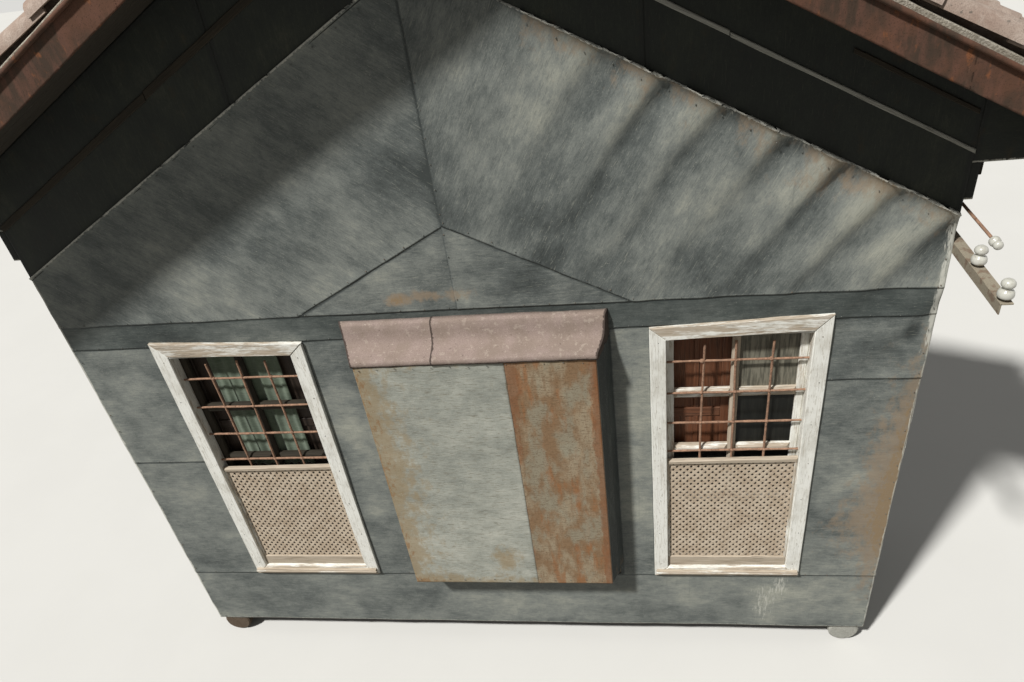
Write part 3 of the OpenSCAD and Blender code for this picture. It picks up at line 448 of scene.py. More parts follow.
# Each slot's finish: the function that makes it, the material's name and what the function takes
FINISHES = {
    # Hewn poplar, browned by age
    "rough_timber": (wood_finish, "rough_timber", "#43382d", "timber", "#77695a"),
    # Poplar bleached pale grey by the sun; on the right frieze ledge the paleness is painted light
    "bleached_log": (wood_finish, "bleached_timber", "#85837a", "#a5a49a", "#bfbdb2"),
    # Sawn boards worn to a dull brown
    "floor_wood": (wood_finish, "worn_floor_boards", "#584736", "#7a6751", "#93816a"),
    # Boards with thin old limewash: pale in the hollows, brown on the raised grain
    "wall_boards": (wood_finish, "limed_boards", "#6e6456", "#968c7b", "#b4ac9c"),
    # Soffit boards, near-black as painted shade under the roof; also boards that must show dark in the
    # windows
    "dark_boards": (wood_finish, "sooty_boards", "#1e1b15", "#2f2a22", "#433c30"),
    # Old dark brown oil paint, thin over the grain; its near-black is painted shade
    "dark_paint": (wood_finish, "brown_painted_wood", "#1c1612", "#2c231c", "#3f342a", 0.0005, 0.6),
    # Old red-brown oil paint, faded and thin over the grain
    "red_brown_paint": (wood_finish, "red_painted_wood", "#35241b", "red_paint", "#7c5a45", 0.0005, 0.62),
    # Off-white oil paint, cracked and flaked off old wood
    "flaking_paint": (flaking_paint, "flaking_paint"),
    # Brown-washed laths, greyed by weather
    "screen_wood": (lath_wood, "lath_wood"),
    # Window glass under years of dust, on a near-black ground of painted shade
    "old_glass": (dusty_glass, "dusty_glass"),
    # Plain pale plaster floor
    "floor": (floor_plaster, "floor_plaster"),
    # Zinc-coated sheet after decades outdoors: dull, cloudy and without a mirror shine
    "grey_sheet": (zinc_sheet, "weathered_zinc_sheet", [
        (0.12, "#3b3f3d"), (0.36, "slate"), (0.62, "#777a74"), (0.95, "chalk")], "ochre", "#877050"),
    # The same sheet, darker and with less chalk: on the head strip, and on the box's sides where the darkness
    # is painted shade
    "dark_sheet": (zinc_sheet, "dark_zinc_sheet", [
        (0.12, "#2c302f"), (0.4, "#434845"), (0.65, "#5a5e5a"), (0.95, "#7d7f77")], "ochre", "#7d5d38"),
    # Newer zinc-coated sheet: pale, with level wiping marks and brown runs
    "pale_sheet": (zinc_sheet, "pale_zinc_sheet", [
        (0.1, "#655c4a"), (0.36, "#84867d"), (0.6, "pale_sheet"), (0.95, "#b9b8ab")],
        "#8e7a58", "#80592f", 0.6, 1.15, 0.7),
    # Dark sheet under the roof with olive and rust runs, made near-black as painted shade of the roof's
    # overhang
    "frieze": (zinc_sheet, "frieze_sheet", [
        (0.1, "#0e100c"), (0.4, "#171a15"), (0.62, "#22251e"), (0.95, "#3b3c32")],
        "#332c1c", "#46341f", 0.65, 1.2),
    # Sheet with its zinc gone: brown rust in runs, with grey-green zinc left in patches
    "rusty_sheet": (layered, "rusted_sheet", "#978870", 0.0009, 0.75, [
        ("#7f6347", 0, 0.2, (0.8, 1, 1.6), 0.42, 0.58, 0.85, 7),
        ("#755b42", 0.4, 0.03, (0.8, 1, 3.5), 0.46, 0.66, 0.45, 6, 4),
        ("rust", 0, 0.12, (0.6, 1, 3), 0.52, 0.64, 0.75, 8, 9),
        ("#8f8d7b", -0.3, 0.15, (0.8, 1, 1.8), 0.47, 0.62, 0.65, 9, 17),
        ("#7c5236", 0, "rust", 0.04, 0.7, 3),
        ("#5e4c38", -0.3, 0.005, (9, 9, 1), 0.56, 0.64, 0.55, 3, 2),
        ("#5a4129", 0.6, 0.006, (1.6, 1, 1), 0.54, 0.66, 0.5, 3, 21),
        ("#3b3025", 0, "grime", 0.02, 0.7)]),
    # Old sheet along the verge: dark brown rust with paler runs, and grey at its rolled edge
    "verge": (layered, "verge_rust", "#41342a", 0.0012, 0.8, [
        ("old_rust", 0.4, 0.2, 1, 0.4, 0.6, 0.9, 6),
        ("#66473a", 0.3, 0.03, 4, 0.42, 0.68, 0.6, 5, 4),
        ("#8a5635", 0, 0.05, 1.6, 0.58, 0.68, 0.6, 7, 9),
        ("#33261d", 0.5, 0.005, 1, 0.54, 0.7, 0.5, 2, 21),
        ("#898a82", 0, "chalk", 0.05, 0.9)]),
    # Wrought iron with a dry coat of rust, orange where it is fresh
    "rusty_iron": (layered, "rusty_iron", "iron", 0.0008, 0.85, [
        ("#a8846b", 0.4, 0.03, 1, 0.42, 0.64, 0.85),
        ("#573f32", 0, 0.012, 1, 0.52, 0.66, 0.7, 4, 6),
        ("#7c5d4a", 0.8, 0.0025, 1, 0.4, 0.7, 0.6, 2, 3)]),
    # Rusted angle iron under dust and old grey paint
    "dusty_iron": (layered, "dusty_iron", "#8d8472", 0.0007, 0.85, [
        ("#6c5443", -0.4, 0.04, 1, 0.5, 0.62, 0.7, 5),
        ("#6a6256", 0.8, 0.003, 1, 0.42, 0.66, 0.5, 2, 3)]),
    # Zinc-coated nail heads gone dull, with rust round some of them
    "nail": (layered, "dull_nails", "#5b5d58", 0.0003, 0.6, [
        ("#5f4a38", 0, 0.2, 1, 0.5, 0.62, 0.8),
        ("#77776f", 0.6, 0.002, 1, 0.4, 0.6, 0.5, 2, 3)]),
    # Bitumen felt with stone granules, pinkish and speckled; the granules of 1 mm are drawn at 5 mm so
    # that they show
    "mineral_felt": (layered, "mineral_felt", "felt", 0.0009, 0.95, [
        ("#93827a", 0.4, 0.13, 1, 0.36, 0.66, 0.8),
        ("#75665c", 0.8, 0.005, 1, 0.42, 0.64, 0.5, 2, 3),
        ("#a39689", 0, 0.03, 1, 0.56, 0.66, 0.5, 6, 18),
        ("#b3a89b", 0, 0.009, 1, 0.66, 0.72, 0.5, 2, 8),
        ("#574a43", 0, 0.024, 1, 0.64, 0.72, 0.6, 5, 12),
        ("#3b322d", 0, "grime", 0.02, 0.9)]),
    # Fired clay tiles, dusty, with lichen and dark weathering
    "clay_tile": (layered, "fired_clay", "tile", 0.0016, 0.92, [
        ("#8c7567", 0, 0.3, 1, 0.35, 0.65, 0.85, 2),
        ("#aa9b8e", 0.5, 0.06, 1, 0.42, 0.64, 0.7, 5, 5),
        ("#7a695e", 0.6, 0.005, 1, 0.45, 0.62, 0.4, 2, 3),
        ("#55524a", 0.4, 0.025, 1, 0.62, 0.7, 0.7, 5, 9)]),
    # Lime and mud mortar under the tiles and the ridge
    "mortar": (layered, "lime_mortar", "#a39c8e", 0.003, 0.95, [
        ("#8b8374", 0.5, 0.05, 1, 0.4, 0.62, 0.8),
        ("#746c5e", 0.7, 0.006, 1, 0.45, 0.6, 0.6, 3, 3)]),
    # White glazed porcelain with dust in its grooves
    "porcelain": (layered, "glazed_porcelain", "#b5b3a8", 0.0004, 0.22, [
        ("#938d7e", 0.5, 0.025, 1, 0.48, 0.7, 0.6),
        ("#6f6653", 0, 0.006, 4, 0.6, 0.7, 0.5, 3, 4)],
        {"Coat Weight": 0.5, "Coat Roughness": 0.08, "Specular IOR Level": 0.5}),
    # Thin faded cotton, plain woven, pale green; the weave is drawn at 1.5 mm so that it shows
    "cloth": (layered, "thin_cotton", "#4f5a4a", 0.0004, 0.9, [
        ("#6f7b67", 0, 0.12, 2, 0.38, 0.66, 0.6, 3, 7),
        ("#434d3f", 0.5, 0.0015, 30, 0.4, 0.62, 0.35, 1),
        ("#7b8672", 0.5, 0.0015, (30, 30, 1), 0.4, 0.62, 0.35, 1, 4)],
        {"Sheen Weight": 0.2}),
}
made = {}


def finish(slot):
    """The material of a slot, made the first time that it is asked for."""
    if slot not in made:
        maker, *facts = FINISHES[slot]
        made[slot] = maker(*facts)
    return made[slot]


# Building helpers

def place_piece(name, mesh, look, nodes=(), smooth_under=40.0):
    """Puts a mesh into the scene as a piece that rides on the bay and stands for CAD nodes."""
    obj = bpy.data.objects.new(name, mesh)
    bpy.context.scene.collection.objects.link(obj)
    if not mesh.materials:
        mesh.materials.append(finish(look))
    mesh.shade_smooth()
    if smooth_under:
        mesh.set_sharp_from_angle(angle=math.radians(smooth_under))
    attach(obj, "root")
    if nodes:
        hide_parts(*nodes)
    return obj


def to_mesh(name, bm, outward=False):
    """Ends a mesh under construction, with its faces turned outward if asked."""
    if outward:
        bmesh.ops.recalc_face_normals(bm, faces=bm.faces)
    mesh = bpy.data.meshes.new(name)
    bm.to_mesh(mesh)
    bm.free()
    return mesh


def boards_piece(name, bm, look, nodes=()):
    """Ends a boards mesh as a piece."""
    return place_piece(name, to_mesh(name, bm), look, nodes, 30.0)


def thicken(obj, thickness, offset=-1):
    """Gives a sheet its real thickness."""
    wall = obj.modifiers.new("thickness", "SOLIDIFY")
    wall.thickness = thickness
    wall.offset = offset


def front(u, v, d):
    """A point of a plane that faces the street: u right, v up, d into the wall."""
    return Vector((u, d, v))


def flank(u, v, d):
    """A point of a side's plane: u into the wall, v up, d to the right."""
    return Vector((d, u, v))


def at_depth(y):
    """A plane that faces the street at a depth, with heights towards the street."""
    return lambda u, v, h: Vector((u, y - h, v))


def rect(u0, v0, u1, v1):
    """Outline of a rectangle, from the left to the right whichever side is given first."""
    u0, u1 = min(u0, u1), max(u0, u1)
    return [(u0, v0), (u1, v0), (u1, v1), (u0, v1)]


def slope_strip(a, b, rise0, rise1):
    """Outline of a strip along the slopes from one x to another, between two rises."""
    a, b = min(a, b), max(a, b)
    return [(a, rake(a, rise0)), (b, rake(b, rise0)), (b, rake(b, rise1)), (a, rake(a, rise1))]


def slope_outline(side, d0, d1, rise0, rise1):
    """Outline of a board along one side's slope, from one distance out from the ridge to another."""
    return slope_strip(RIDGE_X + side * d0, RIDGE_X + side * d1, rise0, rise1)


def under_slope(a, b, z, rise):
    """Outline from a level up to the slope raised by rise."""
    a, b = min(a, b), max(a, b)
    return [(a, z), (b, z), (b, rake(b, rise)), (a, rake(a, rise))]


def strips_between(v0, v1, width):
    """Boards' edges between two heights, as near to a width as fits."""
    count = max(1, round((v1 - v0) / width))
    return [(v0 + (v1 - v0) * k / count, v0 + (v1 - v0) * (k + 1) / count) for k in range(count)]


# Directions of a board's fibres in its outline's plane: level, upright, or through the depth
LEVEL, UP, THROUGH = (1, 0), (0, 1), None


def fall(side):
    """The direction of fibres that run down a side's slope."""
    return (1, -side * SLOPE)


def boards_mesh():
    """An empty mesh for boards, with what the wood finishes read."""
    bm = bmesh.new()
    bm.verts.layers.float_vector.new("grain")
    bm.verts.layers.float.new("wear")
    return bm


def ring_of(outline, wobble, seed):
    """An outline with its long edges cut up and a little untrue."""
    ring = []
    for i, start in enumerate(outline):
        a = Vector(start)
        run = Vector(outline[(i + 1) % len(outline)]) - a
        parts = max(1, int(run.length / 0.12))
        side = Vector((run.y, -run.x)).normalized() if run.length else Vector((0, 0))
        for k in range(parts):
            p = a + run * k / parts
            if k:
                p = p + side * wobble * wave(p.x, p.y, 0.22, seed + 0.37 * i)
            ring.append(p)
    return ring


def inset(ring, d):
    """The ring moved in by d."""
    out = []
    for i, p in enumerate(ring):
        before = (p - ring[i - 1]).normalized()
        after = (ring[(i + 1) % len(ring)] - p).normalized()
        n1 = Vector((-before.y, before.x))
        n2 = Vector((-after.y, after.x))
        out.append(p + (n1 + n2) * d / max(0.3, 1 + n1.dot(n2)))
    return out


def eased(outline, c=0.004):
    """An outline with its corners cut off, for boards whose length runs through the depth."""
    out = []
    for i, corner in enumerate(outline):
        p = Vector(corner)
        for near in (outline[i - 1], outline[(i + 1) % len(outline)]):
            out.append(tuple(p + (Vector(near) - p).normalized() * c))
    return out


def plank(bm, outline, d0, d1, grain=LEVEL, place=front, ease=0.003, wobble=0.0012, wear=0.5):
    """A board from depth d0 to d1: an outline with eased edges, and the direction of its fibres."""
    seed = (outline[0][0] * 7.3 + outline[0][1] * 3.1 + d0 * 5.7) % 50
    ring = ring_of(outline, wobble, seed)
    small = min(ease, abs(d1 - d0) * 0.3)
    cuts = int((d1 - d0) / 0.25) if grain is THROUGH else 0
    levels = [(d0, ease), (d0 + small, 0.0)]
    levels += [(d0 + (d1 - d0) * (k + 1) / (cuts + 1), 0.0) for k in range(cuts)]
    levels += [(d1 - small, 0.0), (d1, ease)]
    grain_layer = bm.verts.layers.float_vector["grain"]
    wear_layer = bm.verts.layers.float["wear"]
    # each board reads its finish at a place of its own
    shift = Vector((seed * 1.37 % 3, seed * 2.11 % 3, seed * 0.73 % 3))
    rings = []
    for d, cut in levels:
        verts = []
        sway = wobble * wave(d, seed, 0.3, 2.0) if grain is THROUGH else 0.0
        for p in inset(ring, cut) if cut else ring:
            v = bm.verts.new(place(p.x + sway, p.y + sway * 0.5, d))
            if grain is THROUGH:
                fibre = Vector((p.x, p.y, d))
            else:
                g = Vector(grain).normalized()
                fibre = Vector((p.x * -g.y + p.y * g.x, d, p.dot(g)))
            v[grain_layer] = fibre + shift
            v[wear_layer] = wear
            verts.append(v)
        rings.append(verts)
    faces = [bm.faces.new(rings[0]), bm.faces.new(list(reversed(rings[-1])))]
    faces += skin(bm, rings, len(ring), inward=True)
    bmesh.ops.recalc_face_normals(bm, faces=faces)


def skin(bm, rings, count, inward=False):
    """Makes count faces from each ring of points to the next, closed where a ring has as many points."""
    faces = []
    for a, b in zip(rings, rings[1:]):
        for k in range(count):
            j = (k + 1) % len(a)
            faces.append(bm.faces.new((a[j], a[k], b[k], b[j]) if inward else (a[k], a[j], b[j], b[k])))
    return faces


PAINTS = ("rust", "core", "chalk", "grime", "flake")


class Cladding:
    """Sheets that end up in one piece, with what the sheet finishes read painted on them."""

    def __init__(self):
        self.points = []
        self.faces = []
        self.paints = {name: [] for name in PAINTS}
        self.lay = []

    def sheet(self, outline, place, lift, over=(), edges=(), painter=None, flip=False, step=None, turn=0.0,
              core=0.0):
        """Adds a sheet with a convex outline. lift(u, v) is its height over the plane that place gives, over
        are the indices of the edges that lie on the sheet below, edges those of bare outer edges, and turn is
        the direction in which it was wiped, in degrees from level."""
        cell = step or sizes().step
        us, vs = zip(*outline)
        wide, tall = max(us) - min(us), max(vs) - min(vs)
        mid = Vector(((max(us) + min(us)) / 2, (max(vs) + min(vs)) / 2, 0))
        bm = bmesh.new()
        columns, rows = max(2, round(wide / cell)), max(2, round(tall / cell))
        bmesh.ops.create_grid(bm, x_segments=columns, y_segments=rows, size=0.5)
        stretched = Matrix.Translation(mid) @ Matrix.Diagonal((wide, tall, 1, 1))
        bmesh.ops.transform(bm, verts=bm.verts, matrix=stretched)
        lines = []
        for i, start in enumerate(outline):
            a = Vector((*start, 0))
            run = (Vector((*outline[(i + 1) % len(outline)], 0)) - a).normalized()
            lines.append((a, Vector((run.y, -run.x, 0))))
        # trimmed to the outline, then cut finer along its edges
        cuts = [(a, out, True, 1e-5) for a, out in lines]
        cuts += [(a - out * back, out, False, 0.002) for a, out in lines for back in (0.008, 0.014, 0.026)]
        for a, out, trim, reach in cuts:
            bmesh.ops.bisect_plane(bm, geom=bm.verts[:] + bm.edges[:] + bm.faces[:], plane_co=a, plane_no=out,
                                   clear_outer=trim, dist=reach)
        bmesh.ops.remove_doubles(bm, verts=bm.verts, dist=0.0008)
        first = len(self.points)
        bm.verts.index_update()
        c, n = math.cos(math.radians(turn)), math.sin(math.radians(turn))
        apart = 3.7 * (len(self.faces) % 5) + 11.0 * abs(outline[0][0] + 0.3 * outline[0][1]) % 7
        lap = sizes().lap
        for vert in bm.verts:
            u, v = vert.co.x, vert.co.y
            height = lift(u, v)
            grime = flake = 0.0
            # along each lap the sheets are darkened: dirt in the joint, and painted shade under the upper
            # sheet's lip
            for i, (a, out) in enumerate(lines):
                gap = (a - vert.co).dot(out)
                if i in over:
                    curl = max(0.0, wave(u, v, 0.16, 7.7)) * 0.005 + 0.0016
                    height += curl * (1 - smooth(0, 0.045, gap))
                    grime = max(grime, 0.8 * (1 - smooth(0.001, 0.008, gap)))
                elif i in edges:
                    flake = max(flake, 0.62 * (1 - smooth(0.002, 0.016, gap)))
                else:
                    grime = max(grime, 0.9 * (1 - smooth(lap, lap + 0.012, gap)))
            # the painter's third share is dirt, and on the gable's folds and the box's sides painted shade
            rust, chalk, dirt, white = painter(u, v)
            self.points.append(place(u, v, height))
            self.lay += [u * c + v * n + apart, v * c - u * n + apart, apart]
            shares = (rust, rust - 0.3, chalk, max(grime, dirt), max(flake * (1 - core), white))
            for name, value in zip(PAINTS, shares):
                self.paints[name].append(value)
        for face in bm.faces:
            ids = [first + v.index for v in face.verts]
            self.faces.append(ids[::-1] if flip else ids)
        bm.free()

    def piece(self, name, look, nodes=(), thick=None):
        """Ends the sheets as a piece with a real thickness."""
        mesh = bpy.data.meshes.new(name)
        mesh.from_pydata([tuple(p) for p in self.points], [], self.faces)
        for key in PAINTS:
            mesh.attributes.new(key, "FLOAT", "POINT").data.foreach_set("value", self.paints[key])
        mesh.attributes.new("lay", "FLOAT_VECTOR", "POINT").data.foreach_set("vector", self.lay)
        thicken(place_piece(name, mesh, look, nodes, 50.0), thick or sizes().sheet_t)


def new_tree(name, numbers):
    """An empty Geometry Nodes tree with a named input for each number, and the outputs of its start."""
    tree = bpy.data.node_groups.new(name, "GeometryNodeTree")
    tree.interface.new_socket("Geometry", in_out="INPUT", socket_type="NodeSocketGeometry")
    for label, value in numbers.items():
        kind = "NodeSocketInt" if isinstance(value, int) else "NodeSocketFloat"
        tree.interface.new_socket(label, in_out="INPUT", socket_type=kind).default_value = value
    tree.interface.new_socket("Geometry", in_out="OUTPUT", socket_type="NodeSocketGeometry")
    return tree, add(tree, "NodeGroupInput").outputs


def end_tree(tree, geometry, look):
    """Ends a tree in real geometry with its material."""
    real = add(tree, "GeometryNodeRealizeInstances", {"Geometry": geometry})
    dressed = add(tree, "GeometryNodeSetMaterial", {"Geometry": real, "Material": finish(look)})
    add(tree, "NodeGroupOutput", {"Geometry": dressed})


def tube(tree, start, around, cell=None, width=None):
    """Closed tubes along the input's lines, cut into cells of a length, with a width along them."""
    curve = add(tree, "GeometryNodeMeshToCurve", {"Mesh": start["Geometry"]})
    if cell:
        curve = add(tree, "GeometryNodeResampleCurve", {"Curve": curve, "Length": cell}, mode="LENGTH")
    section = add(tree, "GeometryNodeCurvePrimitiveCircle", {"Resolution": around, "Radius": start["Radius"]})
    inputs = {"Curve": curve, "Profile Curve": section, "Fill Caps": True}
    if width:
        inputs["Scale"] = width
    return add(tree, "GeometryNodeCurveToMesh", inputs)


def grown(name, mesh, tree, numbers, slot, nodes=(), smooth_under=40.0):
    """Runs a tree on a mesh, and places the plain mesh that comes out as a piece."""
    carrier = bpy.data.objects.new(name + "_carrier", mesh)
    modifier = carrier.modifiers.new("growth", "NODES")
    modifier.node_group = tree
    for item in tree.interface.items_tree:
        if item.in_out == "INPUT" and item.name in numbers:
            modifier[item.identifier] = numbers[item.name]
    bpy.context.scene.collection.objects.link(carrier)
    graph = bpy.context.evaluated_depsgraph_get()
    result = bpy.data.meshes.new_from_object(carrier.evaluated_get(graph), depsgraph=graph)
    result.name = name
    carrier.modifiers.remove(modifier)
    bpy.data.objects.remove(carrier)
    if not result.polygons:
        raise RuntimeError(name + " came out empty")
    return place_piece(name, result, slot, nodes, smooth_under)


def lines_mesh(name, lines):
    """A mesh of open lines, each a list of points. A line of one point stays a loose point."""
    points = []
    edges = []
    for line in lines:
        edges += [(len(points) + k, len(points) + k + 1) for k in range(len(line) - 1)]
        points += [tuple(p) for p in line]
    mesh = bpy.data.meshes.new(name)
    mesh.from_pydata(points, edges, [])
    return mesh


# Sheets of the walls

# Stains on the front: centre x and z, half width and height, then rust, chalk, grime and flake
STAINS = [
    (-0.20, 2.745, 0.20, 0.05, 0.5, 0.1, 0, 0), (-0.33, 2.73, 0.06, 0.04, 0.6, 0, 0, 0),
    (0.02, 2.75, 0.10, 0.05, 0.3, 0.3, 0, 0), (-0.28, 2.91, 0.42, 0.16, 0, 0.3, 0, 0),
    (0.54, 3.02, 0.5, 0.1, 0, 0.34, 0, 0), (1.15, 3.16, 0.5, 0.12, 0, 0.2, 0, 0),
    (2.20, 1.6, 0.16, 0.75, 0.42, 0.25, 0, 0), (2.27, 0.9, 0.1, 0.6, 0.42, 0.1, 0, 0),
    (2.29, 1.7, 0.05, 0.9, 0.4, 0, 0, 0), (2.05, 1.0, 0.2, 0.35, 0.32, 0.1, 0, 0),
    (2.208, 2.409, 0.03, 0.05, 0, 0, 1.1, 0), (1.64, 0.25, 0.11, 0.3, 0, 0.3, 0, 0.36),
    (1.75, 0.44, 0.05, 0.14, 0, 0.1, 0, 0.34), (1.5, 0.30, 0.7, 0.25, 0, 0.35, 0, 0),
    (2.1, 0.38, 0.25, 0.2, 0.1, 0.42, 0, 0), (-0.14, 0.2, 0.6, 0.2, 0, 0.32, 0, 0),
    (-1.6, 0.2, 0.7, 0.25, 0, 0.18, 0.1, 0), (0.877, 1.64, 0.12, 0.7, 0, 0.62, 0, 0),
    (-0.80, 1.7, 0.1, 0.8, 0, 0.42, 0, 0), (-2.1, 2.28, 0.14, 0.3, 0, 0.25, 0, 0),
    (-2.02, 1.3, 0.2, 0.5, 0, 0.28, 0, 0), (-2.28, 1.6, 0.04, 1.0, 0.2, 0.1, 0, 0.25),
    (2.285, 2.6, 0.02, 0.5, 0, 0.3, 0, 0.6), (1.75, 3.22, 0.55, 0.09, 0.18, 0.42, 0, 0),
    (2.2, 2.98, 0.13, 0.12, 0, 0.1, 0.5, 0.1), (0.45, 3.36, 0.35, 0.2, 0, 0, 0.28, 0),
    (-0.6, 3.4, 0.5, 0.3, 0, 0, 0.18, 0), (0.95, 3.62, 0.3, 0.12, 0, 0.22, 0, 0),
    (-0.03, 3.2, 0.03, 0.5, 0, 0, 0.35, 0), (-1.4, 2.78, 0.5, 0.08, 0, 0.2, 0, 0),
    (1.9, 2.55, 0.4, 0.07, 0, 0, 0.25, 0),
]


def gable_place(x, z):
    """Distance down the slope from the ridge, and square down from it."""
    dx = abs(x - RIDGE_X)
    dz = PEAK_Z - z
    return dx * math.cos(PITCH) + dz * math.sin(PITCH), (rake(x) - z) * math.cos(PITCH)


def fold_line(s, down):
    """The slanting folds of the right gable sheet, from -1 to 1: each rises slowly and falls away fast."""
    bent = (s + 0.14 * down + 0.04 * wave(s, down, 0.4, 9.1)) / 0.29
    part = bent - math.floor(bent)
    crest = smooth(0.0, 0.7, part) - smooth(0.74, 0.98, part)
    return (2 * crest - 1) * smooth(0.45, 1.1, s) * (0.75 + 0.45 * wave(s, down, 0.5, 3.3))


def front_paint(x, z):
    """What stains and painted light add up to on the front: rust, chalk and highlight, grime and shade,
    flake.
    """
    total = [0.0, 0.0, 0.0, 0.0]
    for cx, cz, rx, rz, *shares in STAINS:
        near = ((x - cx) / rx) ** 2 + ((z - cz) / rz) ** 2
        if near < 6:
            total = [t + share * math.exp(-near) for t, share in zip(total, shares)]
    s, down = gable_place(x, z)
    if x > RIDGE_X and z > HEAD_TOP - 0.005 and down > 0 and s > 0.5:
        # painted highlight on the folds' crests, painted shade in their hollows, rust and flakes under the
        # roof
        crest = fold_line(s, down)
        near_rake = math.exp(-down / 0.5)
        total[0] += 0.62 * math.exp(-down / 0.16) * (0.75 + 0.25 * crest)
        total[1] += (1.15 * max(0.0, crest) + 0.25) * near_rake
        total[2] += 0.8 * max(0.0, -crest) * near_rake + 0.3 * smooth(0.35, 0.8, down) * smooth(0.5, 1.0, s)
        total[3] += 0.35 * math.exp(-down / 0.05) * smooth(0.9, 1.4, s)
    return total


def front_lift(x, z):
    """Height of the dented sheets over the front plane."""
    size = sizes()
    lift = 0.0052 + size.dent * wave(x, z, 0.55, 1.7) + size.dent * 0.35 * wave(x, z, 0.17, 4.2)
    s, down = gable_place(x, z)
    if 0 < down < 1.5:
        # strong folds to the right of the ridge, slight ones to its left
        share, lie, reach = (1.6, 0.85, 0.42) if x > RIDGE_X else (0.3, 0.8, 0.3)
        lift += share * size.fold * (lie + fold_line(s, down)) * math.exp(-down / reach) * smooth(0.3, 1.0, s)
        # folded edge along the rake
        lift += 0.013 * (1 - smooth(0.0, 0.02, down)) + 0.003 * (1 - smooth(0.02, 0.12, down))
    return max(lift, 0.0006)


def upper_lift(x, z):
    """The same for a sheet that lies over its neighbour."""
    return front_lift(x, z) + 0.001


def wavy_corner(u, v, h):
    """The front plane, with the outer edge of a sheet a little wavy."""
    edge = 1 - smooth(0.0, 0.06, HALF_W - abs(u))
    return Vector((u + 0.0035 * edge * wave(v, u, 0.11, 5.5), FRONT_Y + 0.0005 - h, v))


class BAY_OT_front_sheets(bpy.types.Operator):
    """Zinc-coated sheets of the front, with laps, dents and folds"""
    bl_idname = "bay.front_sheets"
    bl_label = "Front sheets"

    def execute(self, context):
        lap = sizes().lap
        hidden = 0.02
        casings = [(low(name + "_casing").x + hidden, high(name + "_casing").x - hidden) for name in SIDES]
        (left_a, left_b), (right_a, right_b) = casings
        strips = {
            "base": (-HALF_W, HALF_W, [0.0, BASE_TOP]),
            "left_pier": (-HALF_W, left_a, [BASE_TOP, LAP_Z, WINDOW_TOP]),
            "left_inner": (left_b, BOX_L + hidden, [BASE_TOP, WINDOW_TOP]),
            "right_inner": (BOX_R - hidden, right_a, [BASE_TOP, WINDOW_TOP]),
            "right_pier": (right_b, HALF_W, [BASE_TOP, RIGHT_LAP_Z, WINDOW_TOP]),
            "head": (-HALF_W, HALF_W, [WINDOW_TOP, HEAD_TOP]),
        }
        for name, (a, b, levels) in strips.items():
            clad = Cladding()
            for z0, z1 in zip(levels, levels[1:]):
                foot, over = (z0 - lap, (0,)) if z0 > 0 else (z0, ())
                edges = [k for k, bare in ((0, z0 == 0), (1, b == HALF_W), (3, a == -HALF_W)) if bare]
                clad.sheet(rect(a, foot, b, z1), wavy_corner, front_lift, over, edges, front_paint)
            clad.piece(name + "_sheets", "dark_sheet" if name == "head" else "grey_sheet", [name + "_sheet"])
        foot = HEAD_TOP - lap
        seam = SEAM_X - lap
        left_outline = [(-HALF_W, foot), (APRON_L, foot), (SEAM_X, APRON_TOP - lap), (SEAM_X, rake(SEAM_X)),
                        (-HALF_W, rake(-HALF_W))]
        right_outline = [(seam, rake(seam)), (seam, APRON_TOP - lap), (APRON_R, foot), (HALF_W, foot),
                         (HALF_W, rake(HALF_W)), (RIDGE_X, rake(RIDGE_X))]
        tip = APRON_TOP + 0.004
        past = SEAM_X + 0.006
        left_apron = [(APRON_L - hidden, foot), (past, foot), (past, tip)]
        right_apron = [(seam, foot), (APRON_R + hidden, foot), (seam, tip)]
        # each sheet's outline, lift, edges that lie over a sheet, bare edges and wiping direction
        for name, node, sheets in (
            ("left_gable_sheets", "left_gable_sheet", [(left_outline, front_lift, (0, 1), (3, 4), -38)]),
            ("right_gable_sheets", "right_gable_sheet", [
                (right_outline, upper_lift, (0, 1, 2), (3, 4, 5), 61)]),
            ("apron_sheets", "gable_apron", [
                (left_apron, front_lift, (0,), (), 0), (right_apron, upper_lift, (0, 2), (), 0)]),
        ):
            clad = Cladding()
            for outline, lift, over, edges, turn in sheets:
                clad.sheet(outline, wavy_corner, lift, over, edges, front_paint, turn=turn)
            clad.piece(name, "grey_sheet", [node])
        return {"FINISHED"}


class BAY_OT_side_sheets(bpy.types.Operator):
    """Zinc-coated sheets of the two sides"""
    bl_idname = "bay.side_sheets"
    bl_label = "Side sheets"

    def execute(self, context):
        size = sizes()
        bands = (0.0, BASE_TOP, LAP_Z, HEAD_TOP, MOULD_Z + 0.01)
        for name, side in SIDES.items():
            clad = Cladding()

            def plane(u, v, h):
                return Vector((side * (SIDE_X + h), u, v))

            def lift(u, v):
                return max(0.0006, 0.004 + size.dent * 0.8 * wave(u, v, 0.5, 12.0 + side)
                           + size.dent * 0.3 * wave(u, v, 0.16, 15.0 + side))

            def stained(u, v):
                edge = 1 - smooth(0.0, 0.2, u - FRONT_Y)
                foot = 0.4 * (1 - smooth(0.0, 0.5, v)) * (0.5 + wave(u, v, 0.3, 2))
                return 0.45 * edge + foot, 0.2 * wave(u, v, 0.4, 6), 0, 0.2 * edge

            for z0, z1 in zip(bands, bands[1:]):
                foot, over, edges = (z0 - size.lap, (0,), (1, 3)) if z0 > 0 else (z0, (), (0, 1, 3))
                outline = rect(FRONT_Y - 0.004, foot, 0.0, z1)
                clad.sheet(outline, plane, lift, over, edges, stained, flip=side < 0)
            clad.piece(name + "_side_sheets", "grey_sheet", [name + "_side_sheet"])
        return {"FINISHED"}


